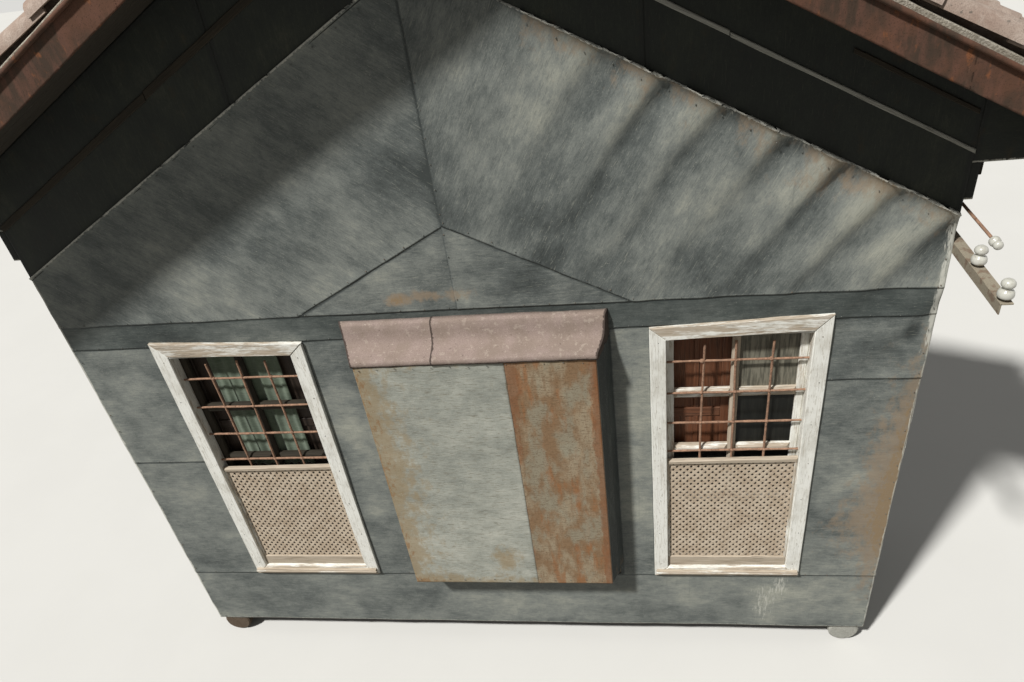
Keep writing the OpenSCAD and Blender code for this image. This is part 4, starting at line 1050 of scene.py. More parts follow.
def lap_lines():
    """The lines along which the sheets are nailed, on the front: x and z of both ends."""
    drop = sizes().lap * 0.2
    seam = SEAM_X - 0.006
    spans = [(-HALF_W, low("left_casing").x), (high("left_casing").x, BOX_L), (BOX_R, low("right_casing").x),
             (high("right_casing").x, HALF_W)]
    levels = [(LAP_Z, 0.02, spans[:1]), (RIGHT_LAP_Z, 0.02, spans[3:]), (BASE_TOP, 0.03, [(-HALF_W, HALF_W)]),
              (WINDOW_TOP, 0.03, spans), (HEAD_TOP, 0.03, [(-HALF_W, HALF_W)])]
    out = [(a + 0.03, z - drop, b - end, z - drop) for z, end, parts in levels for a, b in parts]
    out.append((seam, APRON_TOP + 0.05, seam, rake(SEAM_X) - 0.08))
    out.append((seam, HEAD_TOP + 0.05, seam, APRON_TOP - 0.06))
    for side, tip in ((-1, APRON_L), (1, APRON_R)):
        out.append((tip, HEAD_TOP + 0.004, SEAM_X, APRON_TOP + 0.004))
        out.append((side * (HALF_W - 0.03), rake(HALF_W) - 0.045, RIDGE_X, PEAK_Z - 0.045))
    for side in (-1, 1):
        out.append((side * (HALF_W - 0.02), 0.05, side * (HALF_W - 0.02), rake(HALF_W) - 0.1))
    out.append((-HALF_W + 0.05, 0.02, HALF_W - 0.05, 0.02))
    return out


class BAY_OT_nails(bpy.types.Operator):
    """Nail heads along the laps, the casings and the box"""
    bl_idname = "bay.nails"
    bl_label = "Nails"

    def execute(self, context):
        size = sizes()
        lines = []
        for x0, z0, x1, z1 in lap_lines():
            count = max(2, round(math.hypot(x1 - x0, z1 - z0) / size.nail_pitch))
            for k in range(count + 1):
                t = k / count
                x = x0 + (x1 - x0) * t
                z = z0 + (z1 - z0) * t
                x += 0.006 * wave(x, z, 1 / 9, 1)
                z += 0.006 * wave(x, z, 1 / 9, 5)
                lines.append([(x, FRONT_Y - front_lift(x, z) - 0.0042, z)])
        # the casings' nails, in pairs at the corners and along the boards
        y = low("right_casing").y + 0.0235
        half = CASING_W / 2
        for x in WINDOWS.values():
            for side in (-1, 1):
                lines.append([(x + side * (half - 0.045 + 0.012 * (k % 2)), y, CASING_Z + 0.12 + 0.29 * k)
                              for k in range(7)])
            for z in (CASING_Z + 0.03, CASING_TOP - 0.04):
                lines.append([(x - half + 0.08 + 0.145 * k, y, z + 0.014 * (k % 2)) for k in range(6)])
        for z in (BOX_Z + 0.03, BOX_TOP - 0.05):
            lines.append([(BOX_L + 0.03 + 0.098 * k, BOX_Y - 0.0075, z + 0.004 * (k % 3)) for k in range(13)])
        tree, start = new_tree("nail heads", {"Head radius": 0.004, "Seed": 0, "Unevenness": 0.3})
        head = add(tree, "GeometryNodeMeshIcoSphere", {"Radius": start["Head radius"], "Subdivisions": 1})
        least = add(tree, "ShaderNodeMath", {0: 1.0, 1: start["Unevenness"]}, operation="SUBTRACT")
        scale = add(tree, "FunctionNodeRandomValue", {"Min": least, "Max": 1.15, "Seed": start["Seed"]})
        end_tree(tree, add(tree, "GeometryNodeInstanceOnPoints", {
            "Points": start["Geometry"], "Instance": head, "Scale": scale}), "nail")
        points = lines_mesh("nail_places", [[p] for line in lines for p in line])
        grown("nail_heads", points, tree, {"Head radius": size.nail_r, "Seed": size.seed}, "rusty_iron")
        return {"FINISHED"}


class BAY_OT_box(bpy.types.Operator):
    """Boxed-out part between the windows: pale sheet, rusty sheet, sides and felt cap"""
    bl_idname = "bay.box"
    bl_label = "Box"

    def execute(self, context):
        def lift(u, v):
            return max(0.0006, 0.0022 + 0.0022 * wave(u, v, 0.3, 22.0) + 0.0008 * wave(u, v, 0.09, 25.0))

        def rusty_lift(u, v):
            return lift(u, v) + 0.0018

        def thin(u, v):
            return 0.001

        def joint(v):
            return 0.3 * math.exp(-(v / 0.006) ** 2)

        def pale_paint(u, v):
            left = math.exp(-(u - BOX_L) / 0.2)
            spot = math.exp(-(((u - 0.03) / 0.09) ** 2 + ((v - 0.9) / 0.14) ** 2))
            foot = 1 - smooth(0.0, 0.12, v - BOX_Z)
            crown = 1 - smooth(0.0, 0.1, BOX_TOP - v)
            rust = left * (0.6 + 0.4 * wave(u, v, 0.3, 3.0)) + 0.5 * spot + 0.35 * foot + 0.2 * crown + 0.08
            return rust, 0.22, joint(v - SHEET_JOINT) + 0.9 * math.exp(-(u - BOX_L) / 0.006), 0.0

        def rust_paint(u, v):
            edge = 1 - smooth(0.0, 0.09, BOX_FRONT_R - u)
            seam = 1 - smooth(0.0, 0.05, u - BOX_SEAM)
            top = smooth(0.5, 1.0, (v - BOX_Z) / (BOX_TOP - BOX_Z)) * (1 - smooth(0.0, 0.2, u - BOX_SEAM))
            return 0.7 * edge + 0.3 * seam + 0.5 * top, 0.0, joint(v - SHEET_JOINT + 0.04), 0.0

        # the sides, bottom and turned top are darkened all over: painted shade of the right side, which faces
        # away from the light; rust at the foot
        def dark_paint(u, v):
            return 0.25 * (1 - smooth(0.0, 0.3, v - BOX_Z)), 0.0, 0.7, 0.0

        plane = at_depth(BOX_Y)
        outline = rect(BOX_L, BOX_Z, BOX_SEAM + 0.004, BOX_TOP)
        clad = Cladding()
        clad.sheet(outline, plane, lift, (), (0, 3), pale_paint, core=0.9)
        clad.piece("box_pale_sheets", "pale_sheet", ["box_front_sheet"])
        outline = rect(BOX_SEAM - 0.012, BOX_Z, BOX_FRONT_R, BOX_TOP)
        clad = Cladding()
        clad.sheet(outline, plane, rusty_lift, (3,), (0, 1), rust_paint)
        clad.piece("box_rusty_sheets", "rusty_sheet", ["box_rusty_sheet"])
        clad = Cladding()
        clad.sheet(rect(BOX_Y, BOX_Z, WALL_Y, BOX_TOP), lambda u, v, h: Vector((BOX_L - h, u, v)),
                   lambda u, v: 0.0015 * (0.6 + wave(u, v, 0.2, 31.0)), (), (3,), dark_paint, flip=True)

        def splayed(u, v, h):
            # u runs from 0 at the front to 1 at the wall; a crease runs down the middle of this side
            x = BOX_FRONT_R + (BOX_R - BOX_FRONT_R) * u + h + 0.006 * math.exp(-((u - 0.5) / 0.12) ** 2)
            return Vector((x, BOX_Y + (FRONT_Y - BOX_Y) * u, v))

        clad.sheet(rect(0.0, BOX_Z, 1.0, BOX_TOP), splayed,
                   lambda u, v: 0.0012 * (1 + wave(u * 0.2, v, 0.2, 33.0)), (), (3,), dark_paint, step=0.05)
        clad.sheet([(BOX_L, BOX_Y), (BOX_FRONT_R, BOX_Y), (BOX_R, WALL_Y), (BOX_L, WALL_Y)],
                   lambda u, v, h: Vector((u, v, BOX_Z - h)), thin, (), (0, 1, 3), dark_paint, flip=True)
        # the sides' top edge, turned in under the cap
        turned = BOX_SEAM + 0.2
        back = BOX_Y + 0.004
        clad.sheet([(turned, back), (BOX_FRONT_R, back), (BOX_R, FRONT_Y), (turned, FRONT_Y)],
                   lambda u, v, h: Vector((u, v, BOX_TOP - 0.004 + h)), thin, (), (1,), dark_paint)
        clad.piece("box_sides", "dark_sheet", ["box_side_sheets"])
        joint_x = high("box_cap_left").x
        self.felt("box_cap_left", low("box_cap_left").x, joint_x + 0.03, 0.0)
        self.felt("box_cap_right", joint_x, high("box_cap_right").x, 0.006)
        return {"FINISHED"}

    def felt(self, name, x0, x1, raised):
        """One of the two pieces of felt: an upright band near the wall, then a low slope out to the front."""
        lip = low("box_cap_right").y
        top = high("box_cap_right").z
        # from the wall to the front: distance out and height
        section = [(FRONT_Y - out, top + z) for out, z in (
            (-0.002, 0.001), (0.034, -0.001), (0.044, -0.012), (0.051, -0.05), (0.061, -0.09))]
        section += [(FRONT_Y - out, BOX_TOP + z) for out, z in (
            (0.076, 0.040), (0.105, 0.025), (0.144, 0.014))]
        section += [(lip + out, BOX_TOP + z) for out, z in (
            (0.008, 0.007), (-0.001, 0.001), (-0.002, -0.016), (0.001, -0.03))]
        last = len(section) - 1
        bm = bmesh.new()
        grime = bm.verts.layers.float.new("grime")
        count = max(3, round((x1 - x0) / 0.02))
        rows = []
        for i in range(count + 1):
            near = min(i, count - i) / count * (x1 - x0)
            row = []
            for k, (y, z) in enumerate(section):
                out = min(1.0, max(0.0, (FRONT_Y - y) / (FRONT_Y - lip)))
                a, b = x0, x1
                # the left end slants out to the wall, the right end follows the box's side
                if name.endswith("left"):
                    a = x0 + (BOX_L - 0.008 - x0) * out
                else:
                    b = BOX_FRONT_R + 0.008 + 0.058 * (1 - out)
                x = a + (b - a) * (i / count)
                swell = 0.0035 * wave(x, z + y, 0.12, 41.0) + 0.0015 * wave(x, y + z, 0.04, 44.0)
                curl = 0.005 * (1 - smooth(0.0, 0.04, near)) * (0.6 + wave(x, y, 0.1, 47.0))
                hem = 0.006 * wave(x, 3.0, 0.07, 50.0) if k == last else 0.0
                height = z + raised * 0.5 + swell + curl * 0.4 + hem
                v = bm.verts.new((x, y - raised - swell - curl * 0.6, height))
                # the felt is darkened along its two ends and its front hem
                v[grime] = max(0.8 * (1 - smooth(0.0, 0.014, near)), 0.7 if k == last else 0.0)
                row.append(v)
            rows.append(row)
        skin(bm, rows, last)
        # ends folded down over the box's sides
        for row, step in ((rows[0], -1), (rows[-1], 1)):
            feet = []
            for end, back, z in ((row[0], 0.0, BOX_TOP - 0.012), (row[-1], 0.004, BOX_TOP - 0.03)):
                foot = bm.verts.new((end.co.x, end.co.y + back, z))
                foot[grime] = 0.8
                feet.insert(0, foot)
            bm.faces.new((row + feet)[::step])
        mesh = to_mesh(name + "_felt", bm, True)
        thicken(place_piece(name + "_felt", mesh, "mineral_felt", [name], smooth_under=60.0), sizes().felt_t)


def under_rake(a, v0, b, v1, rise):
    """A board from a to b, cut under the slopes; None where nothing is left."""
    def reach(side, v):
        return RIDGE_X + side * (PEAK_Z + rise - v) / SLOPE
    left0, left1 = max(a, reach(-1, v0)), max(a, reach(-1, v1))
    right0, right1 = min(b, reach(1, v0)), min(b, reach(1, v1))
    if right1 - left1 < 0.03:
        return None
    outline = [(left0, v0), (right0, v0)]
    if right1 < right0 - 1e-6 and right0 >= b - 1e-9:
        outline.append((b, rake(b, rise)))
    outline += [(right1, v1), (left1, v1)]
    if left1 > left0 + 1e-6 and left0 <= a + 1e-9:
        outline.append((a, rake(a, rise)))
    return outline


class BAY_OT_walls(bpy.types.Operator):
    """Boarded walls with their posts, floor, joists and beam"""
    bl_idname = "bay.walls"
    bl_label = "Walls and floor"

    def execute(self, context):
        self.front_wall()
        for name, side in SIDES.items():
            self.side_wall(name + "_wall", side)
        self.floor()
        return {"FINISHED"}

    def front_wall(self):
        """Boards on both faces, with posts, plates and the slopes' plates between them."""
        board_w = sizes().board_w
        hole = CLEAR_W / 2 + LINING_T
        z_sill, z_head = CLEAR_Z - LINING_T, CLEAR_TOP + LINING_T
        foot, top = low("front_wall").z, high("front_wall").z
        left, right = WINDOWS.values()
        whole = [(-SIDE_X, SIDE_X)]
        piers = [(-SIDE_X, left - hole), (left + hole, right - hole), (right + hole, SIDE_X)]
        bm = boards_mesh()
        for depth in ((WALL_Y + 0.0004, WALL_Y + BOARD_T), (WALL_IN_Y - BOARD_T, WALL_IN_Y)):
            for z0, z1, cuts in ((foot, z_sill, whole), (z_sill, z_head, piers), (z_head, top, whole)):
                for v0, v1 in strips_between(z0, z1, board_w):
                    for a, b in cuts:
                        outline = under_rake(a, v0 + BOARD_GAP, b, v1 - BOARD_GAP, RAFTER_RISE)
                        if outline:
                            plank(bm, outline, *depth, wear=0.5 + 0.4 * wave(a, v0, 0.3, 3.0))
        inner = (WALL_Y + BOARD_T, WALL_IN_Y - BOARD_T)
        jamb = hole + POST_HALF
        for x in (-SIDE_X + 0.05, left - jamb, left + jamb, BOX_L, BOX_R, right - jamb, right + jamb,
                  SIDE_X - 0.05):
            head = min(rake(x - POST_HALF, RAFTER_RISE), rake(x + POST_HALF, RAFTER_RISE)) - 0.003
            plank(bm, rect(x - POST_HALF, foot, x + POST_HALF, head), *inner, UP)
        for x in (left, right):
            plank(bm, rect(x - hole, z_sill - 0.08, x + hole, z_sill - 0.001), *inner)
            plank(bm, rect(x - hole, z_head + 0.001, x + hole, z_head + 0.08), *inner)
        for side in (-1, 1):
            ends = (RIDGE_X + side * 0.035, side * SIDE_X)
            plank(bm, slope_strip(*ends, RAFTER_RISE - 0.07, RAFTER_RISE - 0.001), *inner, fall(side))
        boards_piece("front_wall_boards", bm, "wall_boards", ["front_wall"])

    def side_wall(self, node, side):
        """Boards on both faces, with posts and a plate between them."""
        lo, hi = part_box(node)
        head = rake(side * SIDE_X, RAFTER_RISE)
        bm = boards_mesh()
        for x0, x1 in ((lo.x, lo.x + BOARD_T), (hi.x - BOARD_T, hi.x)):
            top = rake(side * max(abs(x0), abs(x1)), RAFTER_RISE) - 0.002
            for v0, v1 in strips_between(lo.z, top, sizes().board_w):
                plank(bm, rect(lo.y + 0.001, v0 + BOARD_GAP, -0.002, v1 - BOARD_GAP), x0, x1, place=flank,
                      wear=0.5 + 0.4 * wave(x0, v0, 0.3, 5.0))
        inner = (lo.x + BOARD_T, hi.x - BOARD_T)
        for y in (-0.06, -0.5, -0.93):
            plank(bm, rect(y - POST_HALF, lo.z, y + POST_HALF, head - 0.004), *inner, UP, flank)
        plank(bm, rect(lo.y, head - 0.06, -0.002, head - 0.003), *inner, LEVEL, flank)
        boards_piece(node + "_boards", bm, "wall_boards", [node])

    def floor(self):
        """Front beam, joists and floor boards."""
        bm = boards_mesh()
        lo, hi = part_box("front_beam")
        plank(bm, rect(lo.x, lo.z, hi.x, hi.z), lo.y, hi.y, ease=0.008, wobble=0.004)
        boards_piece("front_beam_timber", bm, "rough_timber", ["front_beam"])
        bm = boards_mesh()
        lo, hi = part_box("floor_joists")
        joists = 10
        reach = SIDE_X - 0.05
        places = [-reach + 2 * reach * i / (joists - 1) for i in range(joists)]
        for i, x in enumerate(places):
            half = 0.05 if i in (0, joists - 1) else 0.035
            plank(bm, eased(rect(x - half, lo.z, x + half, hi.z), 0.007), lo.y, -0.001, THROUGH, wobble=0.003)
        boards_piece("floor_joists_timber", bm, "rough_timber", ["floor_joists"])
        # floor boards, each in two lengths that meet over a joist
        bm = boards_mesh()
        lo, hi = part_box("floor_boards")
        y = lo.y
        row = 0
        while y < -0.01:
            y1 = min(y + 0.165, -0.001)
            cut = places[3 + row % 3]
            for a, b in ((lo.x, cut - 0.001), (cut + 0.001, hi.x)):
                plank(bm, rect(a, lo.z, b, hi.z), y, y1, wear=0.5 + 0.45 * wave(a, y, 0.2, 8.0))
            y += 0.169
            row += 1
        boards_piece("floor_boards_laid", bm, "floor_wood", ["floor_boards"])


class BAY_OT_logs(bpy.types.Operator):
    """Carrying logs under the floor"""
    bl_idname = "bay.logs"
    bl_label = "Logs"

    def execute(self, context):
        around = 40
        for name in ("left_log", "middle_log", "right_log"):
            lo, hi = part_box(name)
            r = (hi.x - lo.x) / 2
            cx = (hi.x + lo.x) / 2
            bm = boards_mesh()
            grain = bm.verts.layers.float_vector["grain"]
            wear = bm.verts.layers.float["wear"]
            # places along the log with their share of its radius
            stations = [(lo.y, 0.0), (lo.y, 0.45), (lo.y, 0.88), (lo.y + 0.008, 0.985)]
            stations += [(lo.y + 0.03 + (hi.y - lo.y - 0.06) * k / 16, 1.0) for k in range(17)]
            stations += [(hi.y - 0.001, 0.97), (hi.y, 0.5), (hi.y, 0.0)]
            rings = []
            for y, share in stations:
                ring = []
                for k in range(around):
                    a = 2 * math.pi * k / around
                    knot = 0.003 * wave(math.cos(a) * 2 + y, math.sin(a) * 2, 0.5, 61.0 + cx)
                    rr = r * share * (0.985 - 0.012 * abs(math.sin(a * 3.5))) - abs(knot)
                    z = max(min(lo.z + r + rr * math.sin(a), hi.z), lo.z)
                    crack = 0.0
                    if 0 < share < 1 and y < lo.y + 0.01:
                        crack = 0.004 * math.exp(-((a - 2.2) / 0.14) ** 2)
                        crack += 0.003 * math.exp(-((a - 5.0) / 0.1) ** 2)
                    v = bm.verts.new((cx + rr * math.cos(a), y + crack, z))
                    v[grain] = Vector((rr * math.cos(a) + cx, rr * math.sin(a), y))
                    v[wear] = 0.3
                    ring.append(v)
                rings.append(ring)
            skin(bm, rings, around)
            bmesh.ops.remove_doubles(bm, verts=bm.verts, dist=0.0002)
            bmesh.ops.recalc_face_normals(bm, faces=bm.faces)
            look = "bleached_log" if name == "right_log" else "rough_timber"
            boards_piece(name + "_trunk", bm, look, [name])
        return {"FINISHED"}


class BAY_OT_windows(bpy.types.Operator):
    """Casings, casements, screens, panes and shutters"""
    bl_idname = "bay.windows"
    bl_label = "Windows"

    def execute(self, context):
        for name, x in WINDOWS.items():
            self.casing(name, x)
            self.screen(name)
            self.casements(name, x)
            self.shutters(name, x)
        self.panes()
        return {"FINISHED"}

    def casing(self, name, x):
        """Mitred boards, drip sill and lining."""
        bm = boards_mesh()
        half = CASING_W / 2
        inner = CLEAR_W / 2
        y0 = low("right_casing").y + 0.022
        y1 = FRONT_Y
        a = BOARD_GAP
        worn = 0.3 if name == "right" else 0.34
        # the head boards hang out of true
        sag, lift = {"left": (0.022, -0.014), "right": (-0.017, 0.022)}[name]
        # top, bottom, left and right boards
        plank(bm, [(x - inner, CLEAR_TOP + a + sag * 0.6), (x + inner, CLEAR_TOP + a + lift * 0.6),
                   (x + half, CASING_TOP + lift), (x - half, CASING_TOP + sag)], y0 - 0.002, y1, wobble=0.002)
        plank(bm, [(x - half + 0.002, CASING_Z + 0.004), (x + half, CASING_Z), (x + inner, CLEAR_Z - a),
                   (x - inner, CLEAR_Z - a - 0.004)], y0, y1, wobble=0.003, wear=worn + 0.22)
        side = [(x - half, CASING_Z + 0.002), (x - inner - a, CLEAR_Z),
                (x - inner - a, CLEAR_TOP + sag * 0.6), (x - half, CASING_TOP - 0.002 + sag)]
        plank(bm, side, y0 + 0.001, y1, UP, wobble=0.0025, wear=worn - 0.03)
        side = [(x + half, CASING_TOP - 0.002 + lift), (x + inner + a, CLEAR_TOP + lift * 0.6),
                (x + inner + a, CLEAR_Z), (x + half, CASING_Z + 0.002)]
        plank(bm, side, y0 + 0.001, y1, UP, wobble=0.0025, wear=worn)
        # drip sill, split along its length
        z = CASING_Z + 0.041
        left, right = x - half + 0.010, x + half - 0.010
        plank(bm, [(left, z), (right, z), (right, z + 0.009), (x + 0.1, z + 0.012), (left, z + 0.015)],
              y0 - 0.022, y0 + 0.003, wobble=0.0015, wear=worn + 0.25)
        left, right = x - half + 0.012, x + half - 0.012
        plank(bm, [(left, z + 0.0175), (x + 0.1, z + 0.0145), (right, z + 0.0115), (right, z + 0.022),
                   (left, z + 0.024)], y0 - 0.018, y0 + 0.003, wear=worn + 0.3)
        # lining of the opening
        z0, z1 = CLEAR_Z - LINING_T, CLEAR_TOP + LINING_T
        for outline, grain in (
            (rect(x - inner - LINING_T, z0, x - inner, z1), UP),
            (rect(x + inner, z0, x + inner + LINING_T, z1), UP),
            (rect(x - inner, CLEAR_TOP, x + inner, z1), LEVEL),
            (rect(x - inner, z0, x + inner, CLEAR_Z), LEVEL),
        ):
            plank(bm, outline, y0 + 0.006, WALL_IN_Y, grain, ease=0.002, wobble=0.0004, wear=0.42)
        boards_piece(name + "_casing_boards", bm, "flaking_paint", [name + "_casing"])

    def screen(self, name):
        """Rails and stiles round the lattice, and the lattice's finish."""
        bm = boards_mesh()
        lo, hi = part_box(name + "_screen_frame")
        f_lo = low(name + "_lattice_lower")
        f_hi = high(name + "_lattice_upper")
        plank(bm, rect(lo.x, lo.z, hi.x, f_lo.z), lo.y, hi.y, ease=0.004, wobble=0.002, wear=0.7)
        plank(bm, [(lo.x, f_hi.z - 0.004), (hi.x, f_hi.z), (hi.x, hi.z + 0.003), (lo.x, hi.z - 0.005)],
              lo.y - 0.004, hi.y, ease=0.006, wobble=0.003, wear=0.8)
        for x0, x1 in ((lo.x, f_lo.x), (f_hi.x, hi.x)):
            plank(bm, rect(x0, f_lo.z, x1, f_hi.z), lo.y, hi.y, UP, wobble=0.001)
        boards_piece(name + "_screen_rails", bm, "flaking_paint", [name + "_screen_frame"])
        for part in ("upper", "lower"):
            node = frame["nodes"][name + "_lattice_" + part]
            node.data.materials.clear()
            node.data.materials.append(finish("screen_wood"))

    def casements(self, name, x):
        """A pair of casements with round-edged rails and a thick meeting stile."""
        lo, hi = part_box(name + "_casements")
        half = STILE / 2
        pane_w = (CLEAR_W - 3 * STILE) / 2
        bm = boards_mesh()
        plank(bm, rect(x - half, lo.z, x + half, hi.z), lo.y - 0.012, hi.y, UP, ease=0.013, wear=0.95)
        for side in (-1, 1):
            outline = rect(x + side * (CLEAR_W / 2 - STILE), lo.z, x + side * CLEAR_W / 2, hi.z)
            plank(bm, outline, lo.y, hi.y, UP, ease=0.005, wear=0.42)
            p0, p1 = x + side * half, x + side * (half + pane_w)
            for k in range(4):
                z1 = hi.z - k * PANE_H
                rise = 0.014 if k else 0.0
                outline = rect(p0, z1 - STILE, p1, z1 + rise)
                plank(bm, outline, lo.y - rise, hi.y, ease=0.018, wobble=0.002, wear=0.52)
            plank(bm, rect(p0, lo.z, p1, lo.z + STILE), lo.y, hi.y, wear=0.45)
        # the left leaves get near-black boards: painted shade of the left window's dark inside
        look = "flaking_paint" if name == "right" else "dark_boards"
        boards_piece(name + "_casement_leaves", bm, look, [name + "_casements"])
        # lower boards of the leaves, near-black as painted shade behind the lattice, so that its holes show
        # dark
        bm = boards_mesh()
        z0, z1 = lo.z + STILE, hi.z - 3 * PANE_H - STILE
        for side in (-1, 1):
            outline = rect(x + side * half, z0, x + side * (half + pane_w), z1)
            plank(bm, outline, lo.y + 0.016, hi.y - 0.004, UP, wear=0.9)
        boards_piece(name + "_casement_boards", bm, "dark_boards")

    def shutters(self, name, x):
        """A pair of panelled shutters on the wall's inner face."""
        lo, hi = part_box(name + "_shutters")
        bm = boards_mesh()
        rail = 0.060
        panel_h = (hi.z - lo.z - 4 * rail) / 3
        for side, edge in ((-1, lo.x), (1, hi.x)):
            a, b = sorted((x + side * 0.001, edge))
            mid = (a + b) / 2
            # the right window's right-hand leaf is darker: painted shade, as only darkness shows behind its
            # panes
            dull = 0.75 if side > 0 and name == "right" else 0.25
            for x0, x1 in ((a, a + rail), (b - rail, b)):
                plank(bm, rect(x0, lo.z, x1, hi.z), lo.y, hi.y, UP, wear=dull)
            for k in range(4):
                z0 = lo.z + k * (panel_h + rail)
                plank(bm, rect(a + rail, z0, b - rail, z0 + rail), lo.y, hi.y, wear=dull)
            for k in range(3):
                z0 = lo.z + rail + k * (panel_h + rail)
                z1 = z0 + panel_h
                for p0, p1 in ((a + rail, mid - 0.012), (mid + 0.012, b - rail)):
                    plank(bm, rect(p0, z0, p1, z1), lo.y + 0.007, hi.y - 0.007, UP, ease=0.007, wear=dull)
                plank(bm, rect(mid - 0.014, z0, mid + 0.014, z1), lo.y + 0.002, hi.y - 0.002, UP, wear=dull)
        # the left pair is near-black: painted shade of the dark room behind the left window
        look = "dark_paint" if name == "left" else "red_brown_paint"
        boards_piece(name + "_shutter_leaves", bm, look, [name + "_shutters"])

    def panes(self):
        """Dusty panes of the right window; each has its own share of dust."""
        lo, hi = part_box("right_panes")
        bm = boards_mesh()
        # the leaf's side, the pane's number from the top and its dust
        for side, k, dust in ((-1, 2, 0.04), (1, 0, 0.85), (1, 1, 0.05), (1, 2, 0.03)):
            a, b = sorted((WINDOWS["right"] + side * STILE / 2, lo.x if side < 0 else hi.x))
            z1 = hi.z - k * PANE_H
            outline = rect(a - 0.004, z1 - 0.367, b + 0.004, z1 + 0.004)
            plank(bm, outline, lo.y, hi.y, ease=0.0005, wobble=0.0, wear=dust)
        boards_piece("right_window_panes", bm, "old_glass", ["right_panes"])


class BAY_OT_bars(bpy.types.Operator):
    """Iron bars of the two windows, with swollen eyes where they cross"""
    bl_idname = "bay.bars"
    bl_label = "Window bars"

    def execute(self, context):
        size = sizes()
        tree, start = new_tree("forged bars", {"Radius": 0.006, "Eye": 1.75, "Seed": 0})
        spot = add(tree, "GeometryNodeInputPosition")
        swell = add(tree, "ShaderNodeTexNoise", {"Vector": spot, "Scale": 22.0, "Detail": 2.0})
        width = add(tree, "ShaderNodeMapRange", {
            "Value": swell, "From Min": 0.3, "From Max": 0.7, "To Min": 0.82, "To Max": 1.18})
        bars = tube(tree, start, 9, 0.03, width)
        ball = add(tree, "ShaderNodeMath", {0: start["Radius"], 1: start["Eye"]}, operation="MULTIPLY")
        eye = add(tree, "GeometryNodeMeshIcoSphere", {"Radius": ball, "Subdivisions": 2})
        # loose points of the input mesh mark the crossings
        edges = add(tree, "GeometryNodeInputMeshVertexNeighbors")
        single = add(tree, "FunctionNodeCompare", {"A": edges, "B": 0}, data_type="INT", operation="EQUAL")
        grow_by = add(tree, "FunctionNodeRandomValue", {"Min": 0.85, "Max": 1.15, "Seed": start["Seed"]})
        eyes = add(tree, "GeometryNodeInstanceOnPoints", {
            "Points": start["Geometry"], "Selection": single, "Instance": eye, "Scale": grow_by})
        both = add(tree, "GeometryNodeJoinGeometry")
        for part in (bars, eyes):
            tree.links.new(part.outputs[0], both.inputs["Geometry"])
        end_tree(tree, both, "rusty_iron")
        y = (low("right_bars").y + high("right_bars").y) / 2
        apart = 0.176
        foot = SCREEN_TOP - 0.012
        steps = [k / 12 for k in range(13)]
        rails = [CLEAR_TOP - 0.182 - 0.213 * k for k in range(4)]
        for name, x in WINDOWS.items():
            lines = []
            # the three uprights, with their lean and how far their tops stay under the opening's
            for i, lean, drop in ((-1, 0.012, 0.075), (0, -0.006, 0.060), (1, 0.004, 0.068)):
                tall = CLEAR_TOP - drop - foot
                lines.append([(x + i * apart + lean * SIDES[name] * t * t + 0.003 * wave(t, i, 0.3, 71.0),
                               y + 0.003 * wave(t, i, 0.4, 74.0), foot + tall * t) for t in steps])
            for z in rails:
                lines.append([(x - CLEAR_W / 2 + CLEAR_W * t, y + 0.002 * wave(t, z, 0.3, 77.0),
                               z + 0.003 * wave(t, z, 0.35, 79.0)) for t in steps])
            lines += [[(x + i * apart, y, z)] for z in rails for i in (-1, 0, 1)]
            grown(name + "_grille", lines_mesh(name + "_bar_lines", lines), tree,
                  {"Radius": size.bar_r, "Seed": size.seed}, "rusty_iron", [name + "_bars"], 60.0)
        return {"FINISHED"}


class BAY_OT_curtain(bpy.types.Operator):
    """Thin curtain gathered behind the left window"""
    bl_idname = "bay.curtain"
    bl_label = "Curtain"

    def execute(self, context):
        lo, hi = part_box("left_curtain")
        y = (lo.y + hi.y) / 2 + 0.001
        folds = 7
        across = 112
        down = 46
        bm = bmesh.new()
        uv = bm.loops.layers.uv.new("cloth")
        rows = []
        for j in range(down + 1):
            t = j / down
            z = hi.z - (hi.z - lo.z) * t
            row = []
            for i in range(across + 1):
                s = i / across
                phase = s * folds * 2 * math.pi + 0.9 * wave(s, t, 0.35, 81.0) + 0.5 * math.sin(t * 3.1)
                deep = 0.0062 * (0.55 + 0.45 * t) * (0.85 + 0.3 * wave(s * 2, t, 0.5, 84.0))
                x = lo.x + (hi.x - lo.x) * s + 0.010 * math.sin(phase * 0.5 + 1.0) * t * 0.5
                x = min(max(x, lo.x - 0.004), hi.x + 0.004)
                hem = 0.004 * math.sin(phase) if j == down else 0.0
                row.append(bm.verts.new((x, y + deep * math.sin(phase), z + hem)))
            rows.append(row)
        for a, b in zip(rows, rows[1:]):
            for k in range(across):
                for loop in bm.faces.new((a[k], b[k], b[k + 1], a[k + 1])).loops:
                    loop[uv].uv = (loop.vert.co.x, loop.vert.co.z)
        # the flat cloth: as wide as a row half way down is long, and as high as its area then makes it
        middle = rows[down // 2]
        flat_w = sum((a.co - b.co).length for a, b in zip(middle, middle[1:]))
        flat_h = sum(face.calc_area() for face in bm.faces) / flat_w
        mesh = to_mesh("left_curtain_cloth", bm)
        obj = place_piece("left_curtain_cloth", mesh, "cloth", ["left_curtain"], smooth_under=0)
        thicken(obj, 0.0008, 0)
        return {"FINISHED"}


